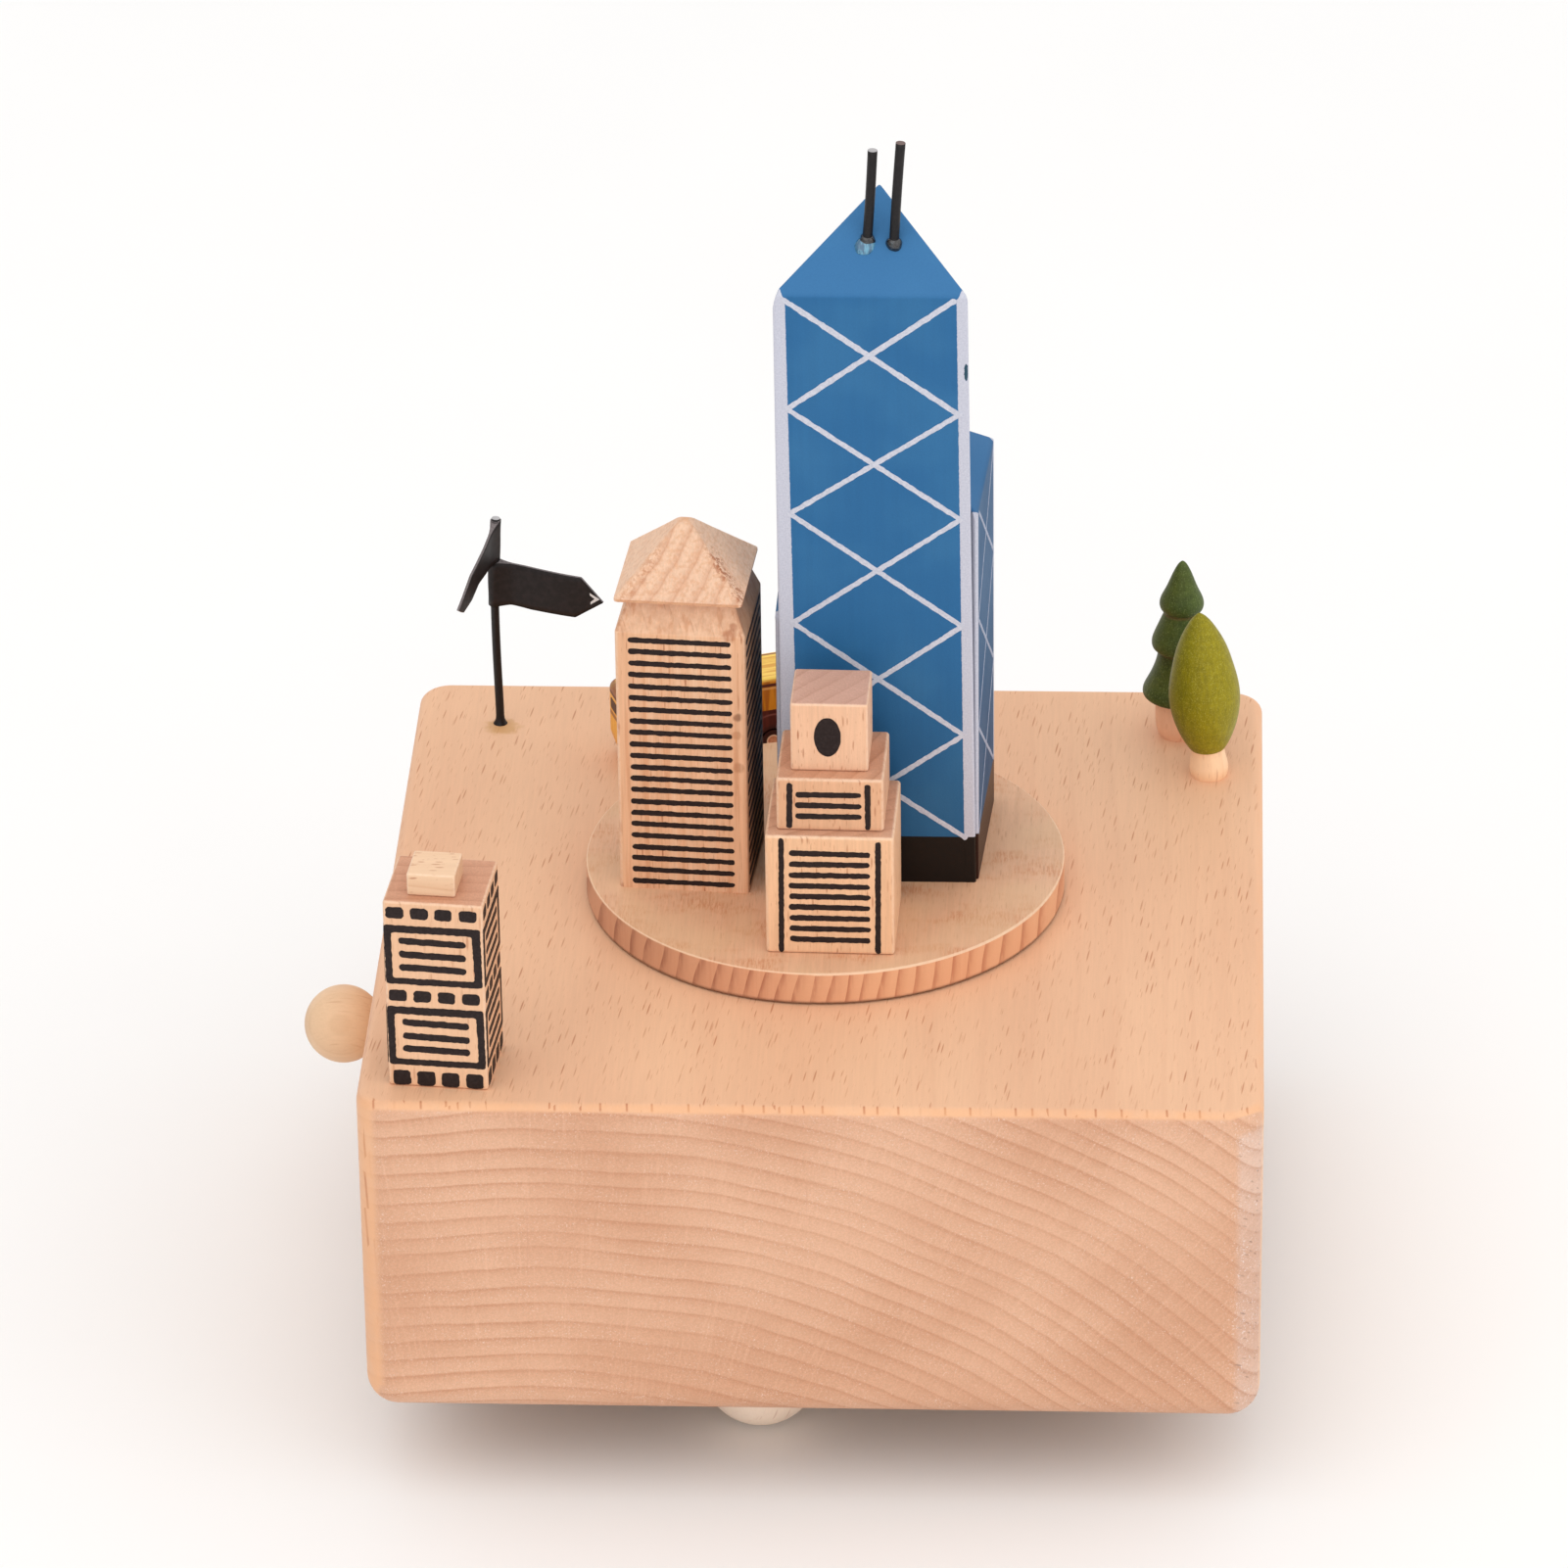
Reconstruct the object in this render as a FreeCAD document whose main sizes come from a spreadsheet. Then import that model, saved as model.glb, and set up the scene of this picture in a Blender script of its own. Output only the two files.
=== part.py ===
import FreeCAD, Part
import Sketcher
import math
import os

from FreeCAD import Placement, Rotation, Vector

# Wooden music box. Millimetres. +X right, +Y away from the viewer, +Z up.
# Origin: where the turntable's axis meets the underside of the wooden base.

DOC = FreeCAD.newDocument("MusicBox")
DIMS = DOC.addObject("Spreadsheet::Sheet", "dims")

CELLS = [
    # wooden base block, hollowed from below
    ("base_side", 110.0, "width of the block"),
    ("base_depth", 107.7, "its depth; the front face is at y = -base_side / 2"),
    ("base_height", 44.5, "height of the block"),
    ("base_round", 4.0, "radius of its upright and lower edges"),
    ("base_top_round", 1.4, "radius of its upper edges"),
    ("cavity_side", 95.0, "side of the hollow"),
    ("cavity_height", 40.0, "hollow's ceiling above the underside"),
    ("cavity_corner", 22.0, "corner radius of the hollow"),
    ("recess_side", 96.0, "recess for the bottom cover"),
    ("recess_depth", 3.0, "its depth"),
    ("recess_corner", 10.0, "its corner radius"),
    ("cover_side", 95.6, "bottom cover"),
    ("cover_corner", 9.8, "its corner radius"),
    ("cover_thick", 2.8, "its thickness"),
    ("cover_inset", 0.2, "cover sits this far inside the underside"),
    ("cover_screw_at", 43.0, "cover screws, from the middle"),
    ("wood_screw_rad", 1.0, "wood screw shank radius"),
    # winding axis
    ("wind_x", -7.2, "winding axis"),
    ("wind_y", -35.2727, "winding axis"),
    ("ball_hole_rad", 8.7, "hole in the cover that the ball enters"),
    ("ball_rad", 7.5, "winding ball"),
    ("ball_z", -4.7, "its centre as photographed, pulled out"),
    ("stem_side", 2.8, "square stem"),
    ("stem_top", 20.4, "its top end, pulled out"),
    ("arbor_rad", 2.9, "winding arbor"),
    ("arbor_socket", 2.9, "side of the square socket"),
    ("running_gap", 0.05, "radial clearance of a running fit"),
    # start and stop rod
    ("rod_y", 2.0, "rod axis"),
    ("rod_z", 22.2, "rod axis"),
    ("rod_rad", 1.0, "rod"),
    ("stop_ball_rad", 5.0, "start and stop ball"),
    ("stop_ball_x", -61.8, "its centre, pulled out"),
    # movement
    ("plate_bottom", 16.0, "bedplate underside"),
    ("plate_thick", 1.5, "bedplate"),
    ("drum_rad", 9.3, "spring drum"),
    ("drum_top", 29.3, "its top"),
    ("drum_wall", 0.5, "its wall"),
    ("crown_bottom", 31.4, "underside of the crown wheel's disc"),
    ("crown_thick", 0.9, "its thickness"),
    ("wheel_bottom", 32.6, "underside of the spur wheels"),
    ("wheel_thick", 1.4, "their thickness"),
    ("idler_x", -16.0, "idler axis"),
    ("post_rad", 1.3, "idler post's pin"),
    ("cyl_z", 25.6, "cylinder axis"),
    ("cyl_rad", 5.0, "pinned cylinder"),
    ("cyl_front", -20.0, "its front end"),
    ("cyl_length", 15.4, "its length"),
    ("axle_rad", 0.9, "cylinder arbor"),
    ("gov_x", -14.4, "governor wheel axis"),
    ("fan_x", -19.4, "fan spindle axis"),
    ("fan_rad", 2.8, "fan"),
    # turntable
    ("shaft_rad", 2.0, "turntable shaft"),
    ("shaft_bottom", 15.3, "its lower end"),
    ("shaft_top", 47.2, "its upper end, inside the disc"),
    ("bush_rad", 4.0, "bush in the ceiling"),
    ("washer_thick", 0.18, "thrust washer"),
    ("disc_rad", 30.05, "turntable disc"),
    ("disc_bottom", 44.7, "its underside"),
    ("disc_thick", 4.3, "its thickness"),
    ("disc_round", 0.25, "its edge radius"),
    ("disc_top", 49.0, "its upper face"),
    ("arm_bottom", 35.0, "magnet arm"),
    ("arm_thick", 3.0, "magnet arm"),
    ("orbit_rad", 39.0, "orbit of the tram"),
    ("magnet_rad", 4.0, "drive magnet"),
    # buildings on the disc
    ("tall_w", 16.3, "tall building"),
    ("tall_d", 15.0, "tall building"),
    ("tall_shoulder", 85.0, "its shoulder"),
    ("tall_neck", 89.55, "underside of its roof"),
    ("tall_inset", 1.7, "shoulder bevel"),
    ("roof_side", 15.9, "its roof"),
    ("roof_apex", 98.15, "its apex"),
    ("step1_w", 15.85, "stepped building, lowest block"),
    ("step1_d", 15.0, ""),
    ("step1_top", 65.55, ""),
    ("step2_w", 13.2, "middle block"),
    ("step2_d", 12.7, ""),
    ("step2_top", 72.8, ""),
    ("step3_w", 9.5, "top block"),
    ("step3_d", 9.2, ""),
    ("step3_top", 82.1, ""),
    # corner building on the base
    ("corner_w", 12.2, "corner building"),
    ("corner_d", 11.4, ""),
    ("corner_top", 70.2, ""),
    ("corner_cap_w", 5.9, "block on its top"),
    ("corner_cap_d", 5.9, ""),
    ("corner_cap_top", 73.2, ""),
    # tower of four triangular shafts
    ("tower_front_eave", 130.1, "front shaft"),
    ("tower_front_apex", 140.24, ""),
    ("tower_right_eave", 100.3, "right shaft"),
    ("tower_right_apex", 109.8, ""),
    ("tower_left_eave", 86.0, "left shaft"),
    ("tower_left_apex", 95.0, ""),
    ("tower_rear_eave", 76.0, "rear shaft"),
    ("tower_rear_apex", 85.0, ""),
    ("antenna_rad", 0.6, "antenna wire"),
    # trees, sign
    ("fir_x", 44.15, ""),
    ("fir_y", 40.8, ""),
    ("oval_x", 48.16, ""),
    ("oval_y", 30.0, ""),
    ("spigot_rad", 1.0, "glued spigots"),
    ("pole_x", -44.0, ""),
    ("pole_y", 41.5, ""),
    ("pole_rad", 0.55, ""),
    ("pole_top", 74.5, ""),
    ("flag_thick", 0.35, ""),
    # tram
    ("tram_length", 32.0, "tram body"),
    ("tram_width", 7.4, ""),
    ("tram_bottom", 45.1, ""),
    ("tram_roof_top", 55.15, ""),
    ("tram_wheel_rad", 1.5, ""),
    ("tram_wheel_at", 4.2, "axles, from the middle"),
    ("tram_magnet_rad", 3.0, ""),
]
for row, (alias, value, note) in enumerate(CELLS, 1):
    DIMS.set("A%d" % row, alias)
    DIMS.set("B%d" % row, repr(value))
    DIMS.set("C%d" % row, note)
    DIMS.setAlias("B%d" % row, alias)
DOC.recompute()

VAL = {alias: float(DIMS.get(alias)) for alias, _, _ in CELLS}
NODES = []
WIND = Vector(VAL["wind_x"], VAL["wind_y"], 0)
TRAM_DEG = 110.0  # where the tram stands on its orbit


def v(alias):
    return VAL[alias]


def bind(obj, prop, expr):
    """Bind a property to an expression in the sheet's aliases, written $alias."""
    if isinstance(expr, str):
        obj.setExpression(prop, expr.replace("$", "dims."))
    else:
        setattr(obj, prop, expr)


def put(obj, x=0, y=0, z=0, rot=None):
    obj.Placement = Placement(Vector(0, 0, 0), rot or Rotation())
    for name, value in (("x", x), ("y", y), ("z", z)):
        if isinstance(value, str):
            obj.setExpression("Placement.Base." + name, value.replace("$", "dims."))
        else:
            p = obj.Placement
            base = Vector(p.Base)
            setattr(base, name, value)
            obj.Placement = Placement(base, p.Rotation)
    return obj


def prim(kind, name, x=0, y=0, z=0, rot=None, **props):
    obj = DOC.addObject("Part::" + kind, name)
    for prop, expr in props.items():
        bind(obj, prop, expr)
    return put(obj, x, y, z, rot)


def cyl(name, r, h, x=0, y=0, z=0, rot=None):
    return prim("Cylinder", name, x, y, z, rot, Radius=r, Height=h)


def box(name, l, w, h, x=0, y=0, z=0, rot=None):
    return prim("Box", name, x, y, z, rot, Length=l, Width=w, Height=h)


def cut(name, base, *tools):
    obj = DOC.addObject("Part::Cut", name)
    obj.Base = base
    obj.Tool = tools[0] if len(tools) == 1 else fuse(name + "_tools", *tools)
    return obj


def fuse(name, *parts):
    obj = DOC.addObject("Part::MultiFuse", name)
    obj.Shapes = list(parts)
    return obj


def edge_round(name, base, radius, pick):
    """Rounds the edges that pick() accepts."""
    DOC.recompute()
    obj = DOC.addObject("Part::Fillet", name)
    obj.Base = base
    obj.Edges = [
        (i, radius, radius) for i, e in enumerate(base.Shape.Edges, 1) if pick(e)
    ]
    return obj


def feature(name, shape, place=None):
    obj = DOC.addObject("Part::Feature", name)
    obj.Shape = shape
    if place is not None:
        obj.Placement = place
    return obj


def node(obj, label):
    obj.Label = label
    NODES.append(obj)
    return obj


def turned(profile, smooth=()):
    """A solid turned about Z. profile lists runs of (radius, height): a run of two points is a line, a longer one a smooth curve."""
    edges = []
    for run in profile:
        pts = [Vector(r, 0, z) for r, z in run]
        if len(pts) == 2:
            edges.append(Part.LineSegment(*pts).toShape())
        else:
            curve = Part.BSplineCurve()
            curve.interpolate(pts)
            edges.append(curve.toShape())
    first = edges[0].Vertexes[0].Point
    wire = Part.Wire(edges)
    ends = [profile[0][0], profile[-1][-1]]
    a, b = (Vector(r, 0, z) for r, z in ends)
    closing = []
    corner = [b]
    if b.x > 1e-9:
        corner.append(Vector(0, 0, b.z))
    if a.x > 1e-9:
        corner.append(Vector(0, 0, a.z))
    corner.append(a)
    for p, q in zip(corner, corner[1:]):
        if (p - q).Length > 1e-7:
            closing.append(Part.LineSegment(p, q).toShape())
    wire = Part.Wire(edges + closing)
    return Part.Face(wire).revolve(Vector(0, 0, 0), Vector(0, 0, 1), 360)


def prism(points, z0, z1):
    wire = Part.makePolygon([Vector(x, y, z0) for x, y in list(points) + [points[0]]])
    return Part.Face(wire).extrude(Vector(0, 0, z1 - z0))


def gear_outline(module, teeth, play, turn, add=1.0, ded=1.2, steps=5):
    """Involute tooth outline, 20 degree pressure angle. A tooth is centred on the angle turn, in radians. play is the circumferential play of one gear, in mm."""
    rp = module * teeth / 2
    rb = rp * math.cos(math.radians(20))
    ra = rp + add * module
    rf = rp - ded * module
    inv = lambda a: math.tan(a) - a
    half = (math.pi * module / 2 - play) / 2 / rp

    def half_at(r):
        if r <= rb:
            return half + inv(math.radians(20))
        return half + inv(math.radians(20)) - inv(math.acos(rb / r))

    low = max(rb, rf)
    radii = [low + (ra - low) * i / steps for i in range(steps + 1)]
    if rf < rb:
        radii = [rf] + radii
    pts = []
    for k in range(teeth):
        mid = turn + 2 * math.pi * k / teeth
        for r in radii:
            pts.append((r, mid - half_at(r)))
        for r in reversed(radii):
            pts.append((r, mid + half_at(r)))
    return [(r * math.cos(a), r * math.sin(a)) for r, a in pts]


def ring_cut(shape, r, z0, z1, x=0, y=0):
    return shape.cut(Part.makeCylinder(r, z1 - z0 + 2, Vector(x, y, z0 - 1)))


# ------------------------------------------------- solids grown from sketches
def body(name):
    return DOC.addObject("PartDesign::Body", name)


def plane(b, role):
    for f in b.Origin.OriginFeatures:
        if f.Role == role:
            return f


def sketch(b, name, role="XY_Plane", lift=None):
    s = b.newObject("Sketcher::SketchObject", name)
    s.AttachmentSupport = [(plane(b, role), "")]
    s.MapMode = "FlatFace"
    if lift is not None:
        s.setExpression("AttachmentOffset.Base.z", lift.replace("$", "dims."))
    return s


def sk_rect(s, w, d):
    """A rectangle centred on the sketch's origin."""
    g = s.GeometryCount
    a = [Vector(-9, -8, 0), Vector(9, -8, 0), Vector(9, 8, 0), Vector(-9, 8, 0)]
    for i in range(4):
        s.addGeometry(Part.LineSegment(a[i], a[(i + 1) % 4]), False)
    C = Sketcher.Constraint
    for i in range(4):
        s.addConstraint(C("Coincident", g + i, 2, g + (i + 1) % 4, 1))
    s.addConstraint(C("Horizontal", g))
    s.addConstraint(C("Horizontal", g + 2))
    s.addConstraint(C("Vertical", g + 1))
    s.addConstraint(C("Vertical", g + 3))
    s.addConstraint(C("Symmetric", g, 1, g + 1, 2, -1, 1))
    k = s.addConstraint(C("DistanceX", g, 1, g, 2, 18.0))
    s.setExpression("Constraints[%d]" % k, w.replace("$", "dims."))
    k = s.addConstraint(C("DistanceY", g + 1, 1, g + 1, 2, 16.0))
    s.setExpression("Constraints[%d]" % k, d.replace("$", "dims."))


def sk_circle(s, x, y, r):
    """A circle. x and y are numbers or ('alias', sign)."""
    C = Sketcher.Constraint

    def number(c):
        return c if not isinstance(c, str) else v(c.replace("$", ""))

    def value(c):
        if isinstance(c, str):
            neg = c.startswith("-")
            n = v(c.lstrip("-").replace("$", ""))
            return -n if neg else n
        return c

    cx, cy = value(x), value(y)
    rr = value(r)
    g = s.addGeometry(Part.Circle(Vector(cx, cy, 0), Vector(0, 0, 1), rr), False)
    k = s.addConstraint(C("Radius", g, rr))
    if isinstance(r, str):
        s.setExpression("Constraints[%d]" % k, r.replace("$", "dims."))
    for axis, c, val in (("DistanceX", x, cx), ("DistanceY", y, cy)):
        if abs(val) < 1e-9:
            s.addConstraint(C("PointOnObject", g, 3, -2 if axis == "DistanceX" else -1))
            continue
        if val > 0:
            k = s.addConstraint(C(axis, -1, 1, g, 3, val))
            expr = c
        else:
            k = s.addConstraint(C(axis, g, 3, -1, 1, -val))
            expr = ("-" + c if not c.startswith("-") else c[1:]) if isinstance(c, str) else c
        if isinstance(c, str):
            s.setExpression("Constraints[%d]" % k, expr.replace("$", "dims."))


def pad(b, s, length):
    f = b.newObject("PartDesign::Pad", s.Name + "_pad")
    f.Profile = s
    f.setExpression("Length", length.replace("$", "dims."))
    s.Visibility = False
    return f


def pocket(b, s, length, up):
    """A pocket from the sketch's plane. up cuts along the plane's normal."""
    DOC.recompute()
    before = b.Shape.Volume
    f = b.newObject("PartDesign::Pocket", s.Name + "_pocket")
    f.Profile = s
    f.Reversed = up
    f.setExpression("Length", length.replace("$", "dims."))
    DOC.recompute()
    if not b.Shape.Volume < before - 1e-6:
        raise SystemExit("pocket %s cuts nothing" % f.Name)
    return f


def pd_fillet(b, base, radius, pick):
    DOC.recompute()
    names = ["Edge%d" % i for i, e in enumerate(base.Shape.Edges, 1) if pick(e)]
    f = b.newObject("PartDesign::Fillet", base.Name + "_round%d" % len(b.Group))
    f.Base = (base, names)
    f.setExpression("Radius", radius.replace("$", "dims."))
    DOC.recompute()
    return f


def upright(e):
    a, b = e.Vertexes[0].Point, e.Vertexes[-1].Point
    return len(e.Vertexes) == 2 and abs(a.x - b.x) < 1e-6 and abs(a.y - b.y) < 1e-6 and abs(a.z - b.z) > 1e-6


def at_height(z):
    def pick(e):
        return all(abs(p.Point.z - z) < 1e-6 for p in e.Vertexes) and abs(e.CenterOfMass.z - z) < 1e-6

    return pick


# ================================================================= the base
b = body("BaseBlockBody")
s = sketch(b, "BaseOutline")
sk_rect(s, "$base_side", "$base_depth")
s.setExpression("AttachmentOffset.Base.y", "(dims.base_depth - dims.base_side) / 2")
p = pad(b, s, "$base_height")
f = pd_fillet(b, p, "$base_round", lambda e: upright(e) or at_height(0)(e))
f = pd_fillet(b, f, "$base_top_round", at_height(v("base_height")))
s = sketch(b, "Hollow")
sk_rect(s, "$cavity_side", "$cavity_side")
p = pocket(b, s, "$cavity_height", True)
half = v("cavity_side") / 2
f = pd_fillet(
    b, p, "$cavity_corner",
    lambda e: upright(e) and abs(abs(e.CenterOfMass.x) - half) < 1e-6 and abs(abs(e.CenterOfMass.y) - half) < 1e-6,
)
s = sketch(b, "CoverRecess")
sk_rect(s, "$recess_side", "$recess_side")
p = pocket(b, s, "$recess_depth", True)
half = v("recess_side") / 2
f = pd_fillet(
    b, p, "$recess_corner",
    lambda e: upright(e) and abs(abs(e.CenterOfMass.x) - half) < 1e-6 and abs(abs(e.CenterOfMass.y) - half) < 1e-6,
)
s = sketch(b, "BushHole")
sk_circle(s, 0, 0, "$bush_rad")
pocket(b, s, "$base_height", True)
s = sketch(b, "ScrewHoles")
for sx in ("", "-"):
    for sy in ("", "-"):
        sk_circle(s, sx + "$cover_screw_at", sy + "$cover_screw_at", "$wood_screw_rad")
pocket(b, s, "12", True)
s = sketch(b, "TopHoles", lift="$base_height - 3")
sk_circle(s, "$fir_x", "$fir_y", "$spigot_rad")
sk_circle(s, "$oval_x", "$oval_y", "$spigot_rad")
sk_circle(s, "$pole_x", "$pole_y", "$pole_rad")
pocket(b, s, "5", True)
s = sketch(b, "RodHole", role="YZ_Plane")
sk_circle(s, "$rod_y", "$rod_z", v("rod_rad") + v("running_gap"))
pocket(b, s, "60", False)
node(b, "base_block")

b = body("CoverBody")
s = sketch(b, "CoverOutline", lift="$cover_inset")
sk_rect(s, "$cover_side", "$cover_side")
p = pad(b, s, "$cover_thick")
half = v("cover_side") / 2
f = pd_fillet(b, p, "$cover_corner", upright)
s = sketch(b, "CoverHoles")
sk_circle(s, "$wind_x", "$wind_y", "$ball_hole_rad")
for sx in ("", "-"):
    for sy in ("", "-"):
        sk_circle(s, sx + "$cover_screw_at", sy + "$cover_screw_at", "$wood_screw_rad")
SPACERS = [(-22.5, -42.5), (11.0, -42.5), (11.0, 5.5), (-23.0, -9.0)]
for x, y in SPACERS:
    sk_circle(s, x, y, 1.25)
pocket(b, s, "5", True)


def screw(x, y, z_head, head_r, shank_r, length, name):
    """A countersunk screw, point up, with a cross recess."""
    shape = turned([
        [(0, z_head), (head_r, z_head)],
        [(head_r, z_head), (head_r, z_head + 0.25)],
        [(head_r, z_head + 0.25), (shank_r, z_head + 0.25 + head_r - shank_r)],
        [(shank_r, z_head + 0.25 + head_r - shank_r), (shank_r, z_head + length - shank_r)],
        [(shank_r, z_head + length - shank_r), (0, z_head + length)],
    ])
    for a in (0, 90):
        bar = Part.makeBox(1.4 * head_r, 0.4, 0.6, Vector(-0.7 * head_r, -0.2, z_head - 0.1))
        bar.rotate(Vector(0, 0, 0), Vector(0, 0, 1), a + 20)
        shape = shape.cut(bar)
    shape.translate(Vector(x, y, 0))
    return shape


# the cover's countersinks are cut by cones the size of the heads
at = v("cover_screw_at")
heads = [(x, y) for x in (-at, at) for y in (-at, at)]
cones = []
for i, (x, y) in enumerate(heads + SPACERS):
    shank = v("wood_screw_rad") if i < 4 else 1.25
    head = 2.2 if i < 4 else 2.6
    cones.append(Part.makeCone(head, shank, head - shank, Vector(x, y, 0.45)).fuse(
        Part.makeCylinder(head, 0.3, Vector(x, y, 0.16))).removeSplitter())
cover_holes = feature("CoverCountersinks", Part.makeCompound(cones))
cover = cut("CoverCountersunk", b, cover_holes)
node(cover, "bottom_cover")

node(feature("CoverScrews", Part.makeCompound([screw(x, y, 0.2, 2.2, v("wood_screw_rad"), 11.0, "s") for x, y in heads])), "cover_screws")

spacers = []
for x, y in SPACERS:
    tube = Part.makeCylinder(3.0, v("plate_bottom") - 3.0, Vector(x, y, 3.0))
    spacers.append(tube.cut(Part.makeCylinder(1.25, 30, Vector(x, y, 0))))
node(feature("Spacers", Part.makeCompound(spacers)), "movement_spacers")

bolts = []
for x, y in SPACERS:
    bolt = screw(x, y, 0.2, 2.6, 1.25, 18.2, "b")
    bolts.append(bolt)
node(feature("MovementScrews", Part.makeCompound(bolts)), "movement_screws")

# ============================================================ the movement
PT = v("plate_bottom") + v("plate_thick")  # upper face of the bedplate
b = body("BedplateBody")
s = sketch(b, "BedplateOutline", lift="$plate_bottom")
C = Sketcher.Constraint
corners = [Vector(-27, -46.5, 0), Vector(15, -46.5, 0), Vector(15, 9.0, 0), Vector(-27, 9.0, 0)]
for i in range(4):
    s.addGeometry(Part.LineSegment(corners[i], corners[(i + 1) % 4]), False)
for i in range(4):
    s.addConstraint(C("Coincident", i, 2, (i + 1) % 4, 1))
s.addConstraint(C("Horizontal", 0))
s.addConstraint(C("Horizontal", 2))
s.addConstraint(C("Vertical", 1))
s.addConstraint(C("Vertical", 3))
s.addConstraint(C("DistanceX", 0, 1, -1, 1, 27.0))
s.addConstraint(C("DistanceY", 0, 1, -1, 1, 46.5))
s.addConstraint(C("DistanceX", 0, 1, 0, 2, 42.0))
s.addConstraint(C("DistanceY", 1, 1, 1, 2, 55.5))
p = pad(b, s, "$plate_thick")
f = pd_fillet(b, p, "3", upright)
s = sketch(b, "BedplateHoles", lift="$plate_bottom - 1")
sk_circle(s, "$wind_x", "$wind_y", v("arbor_rad") + v("running_gap"))
sk_circle(s, 0, 0, v("shaft_rad") + v("running_gap"))
for x, y in SPACERS:
    sk_circle(s, x, y, 1.25)
pocket(b, s, "5", True)
node(b, "movement_bedplate")

# spring drum: a cup open to the bedplate, with a rim flange
drum = cyl("DrumOut", "$drum_rad", "$drum_top - %g" % PT, "$wind_x", "$wind_y", PT)
drum_in = cyl("DrumIn", "$drum_rad - $drum_wall", "$drum_top - %g - 1 + 1" % PT, "$wind_x", "$wind_y", PT - 1.0)
drum_hole = cyl("DrumHole", "$arbor_rad + $running_gap", 40.0, "$wind_x", "$wind_y", 5.0)
node(cut("SpringDrum", drum, drum_in, drum_hole), "spring_drum")

# coiled mainspring: one strip, outer end near the drum wall
turns, r_out, r_in, strip = 7.0, 8.5, 3.5, 0.25
count = 26 * 7
outer, inner = [], []
for i in range(count + 1):
    a = 2 * math.pi * turns * i / count
    r = r_out - (r_out - r_in) * i / count
    outer.append(Vector(r * math.cos(a), r * math.sin(a), 0))
    inner.append(Vector((r - strip) * math.cos(a), (r - strip) * math.sin(a), 0))
ring = outer + inner[::-1]
spring = Part.Face(Part.makePolygon(ring + [ring[0]])).extrude(Vector(0, 0, 9.6))
node(feature("Mainspring", spring, Placement(Vector(WIND.x, WIND.y, PT + 0.5), Rotation())), "mainspring")

# comb: 18 tuned teeth, bass end at the front
TIP = v("wind_x") + v("cyl_rad") + 0.45 + 0.12
pitch = 0.84
y_first = -19.7
comb_shape = Part.makeBox(5.0, 17.0, 0.9, Vector(8.0, -20.6, 25.4))
comb_shape = comb_shape.fuse(Part.makeBox(2.4, 15.9, 0.9, Vector(5.6, -20.15, 25.4)))
for i in range(18):
    y0 = y_first + pitch * i
    length = 7.2 - 0.24 * i
    root = TIP + length
    tooth = Part.makeBox(5.7 - TIP, 0.56, 0.42, Vector(TIP, y0, 25.4))
    lead = Part.makeBox(max(5.7 - root, 0.1), 0.56, 0.9, Vector(root, y0, 25.4))
    comb_shape = comb_shape.fuse([tooth, lead])
comb_shape = comb_shape.removeSplitter()
for y in (-18.0, -12.1, -6.2):
    comb_shape = comb_shape.cut(Part.makeCylinder(1.0, 4, Vector(10.6, y, 24)))
node(feature("Comb", comb_shape), "comb")
block = Part.makeBox(5.0, 17.0, 25.4 - PT, Vector(8.0, -20.6, PT))
for y in (-18.0, -12.1, -6.2):
    block = block.cut(Part.makeCylinder(1.0, 6, Vector(10.6, y, 20)))
node(feature("CombBlock", block), "comb_block")
screws = []
for y in (-18.0, -12.1, -6.2):
    shank = Part.makeCylinder(1.0, 6.3, Vector(10.6, y, 20.0))
    head = Part.makeCylinder(1.8, 1.1, Vector(10.6, y, 26.3))
    slot = Part.makeBox(4.0, 0.5, 0.6, Vector(8.6, y - 0.25, 26.95))
    screws.append(shank.fuse(head).cut(slot).removeSplitter())
node(feature("CombScrews", Part.makeCompound(screws)), "comb_screws")

# bearings of the cylinder, two small brackets
ZC = v("cyl_z")
AX = v("wind_x")
Y_AXIS = Rotation(Vector(1, 0, 0), -90)  # turns +Z to +Y


def along_y(r, y0, y1, x, z):
    return Part.makeCylinder(r, y1 - y0, Vector(x, y0, z), Vector(0, 1, 0))


front = Part.makeBox(6.4, 1.0, ZC + 1.9 - PT, Vector(AX - 3.2, -21.25, PT))
front = front.cut(along_y(v("axle_rad") + 0.05, -25, -15, AX, ZC))
rear = Part.makeBox(6.4, 1.0, ZC + 1.9 - PT, Vector(AX - 3.2, -3.2, PT))
rear = rear.fuse(Part.makeBox(6.4, 3.4, 1.0, Vector(AX - 3.2, -2.3, PT))).removeSplitter()
rear = rear.cut(along_y(v("axle_rad") + 0.05, -6, 2, AX, ZC))
node(feature("CylinderBearings", Part.makeCompound([front, rear])), "cylinder_bearings")

# governor frame: one bent strip with two arms and the far wheel bearing
GX, FX, RY = v("gov_x"), v("fan_x"), v("rod_y")
frame = Part.makeBox(10.2, 1.0, 30.9 - PT, Vector(-22.4, 4.8, PT))
frame = frame.fuse([
    Part.makeBox(3.6, 4.2, 1.0, Vector(FX - 1.8, 0.7, 29.9)),
    Part.makeBox(3.6, 4.2, 0.8, Vector(FX - 1.8, 0.7, PT)),
    Part.makeBox(3.4, 11.4, 0.8, Vector(GX - 1.7, -6.5, PT)),
    Part.makeBox(3.4, 1.0, ZC + 1.7 - PT, Vector(GX - 1.7, -6.5, PT)),
]).removeSplitter()
frame = frame.cut(Part.makeCylinder(0.45, 40, Vector(FX, RY, 10)))
frame = frame.cut(along_y(0.55, -10, 10, GX, ZC))
frame = frame.cut(Part.makeCylinder(0.45, 1, Vector(FX, RY, 16.6)))
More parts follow.
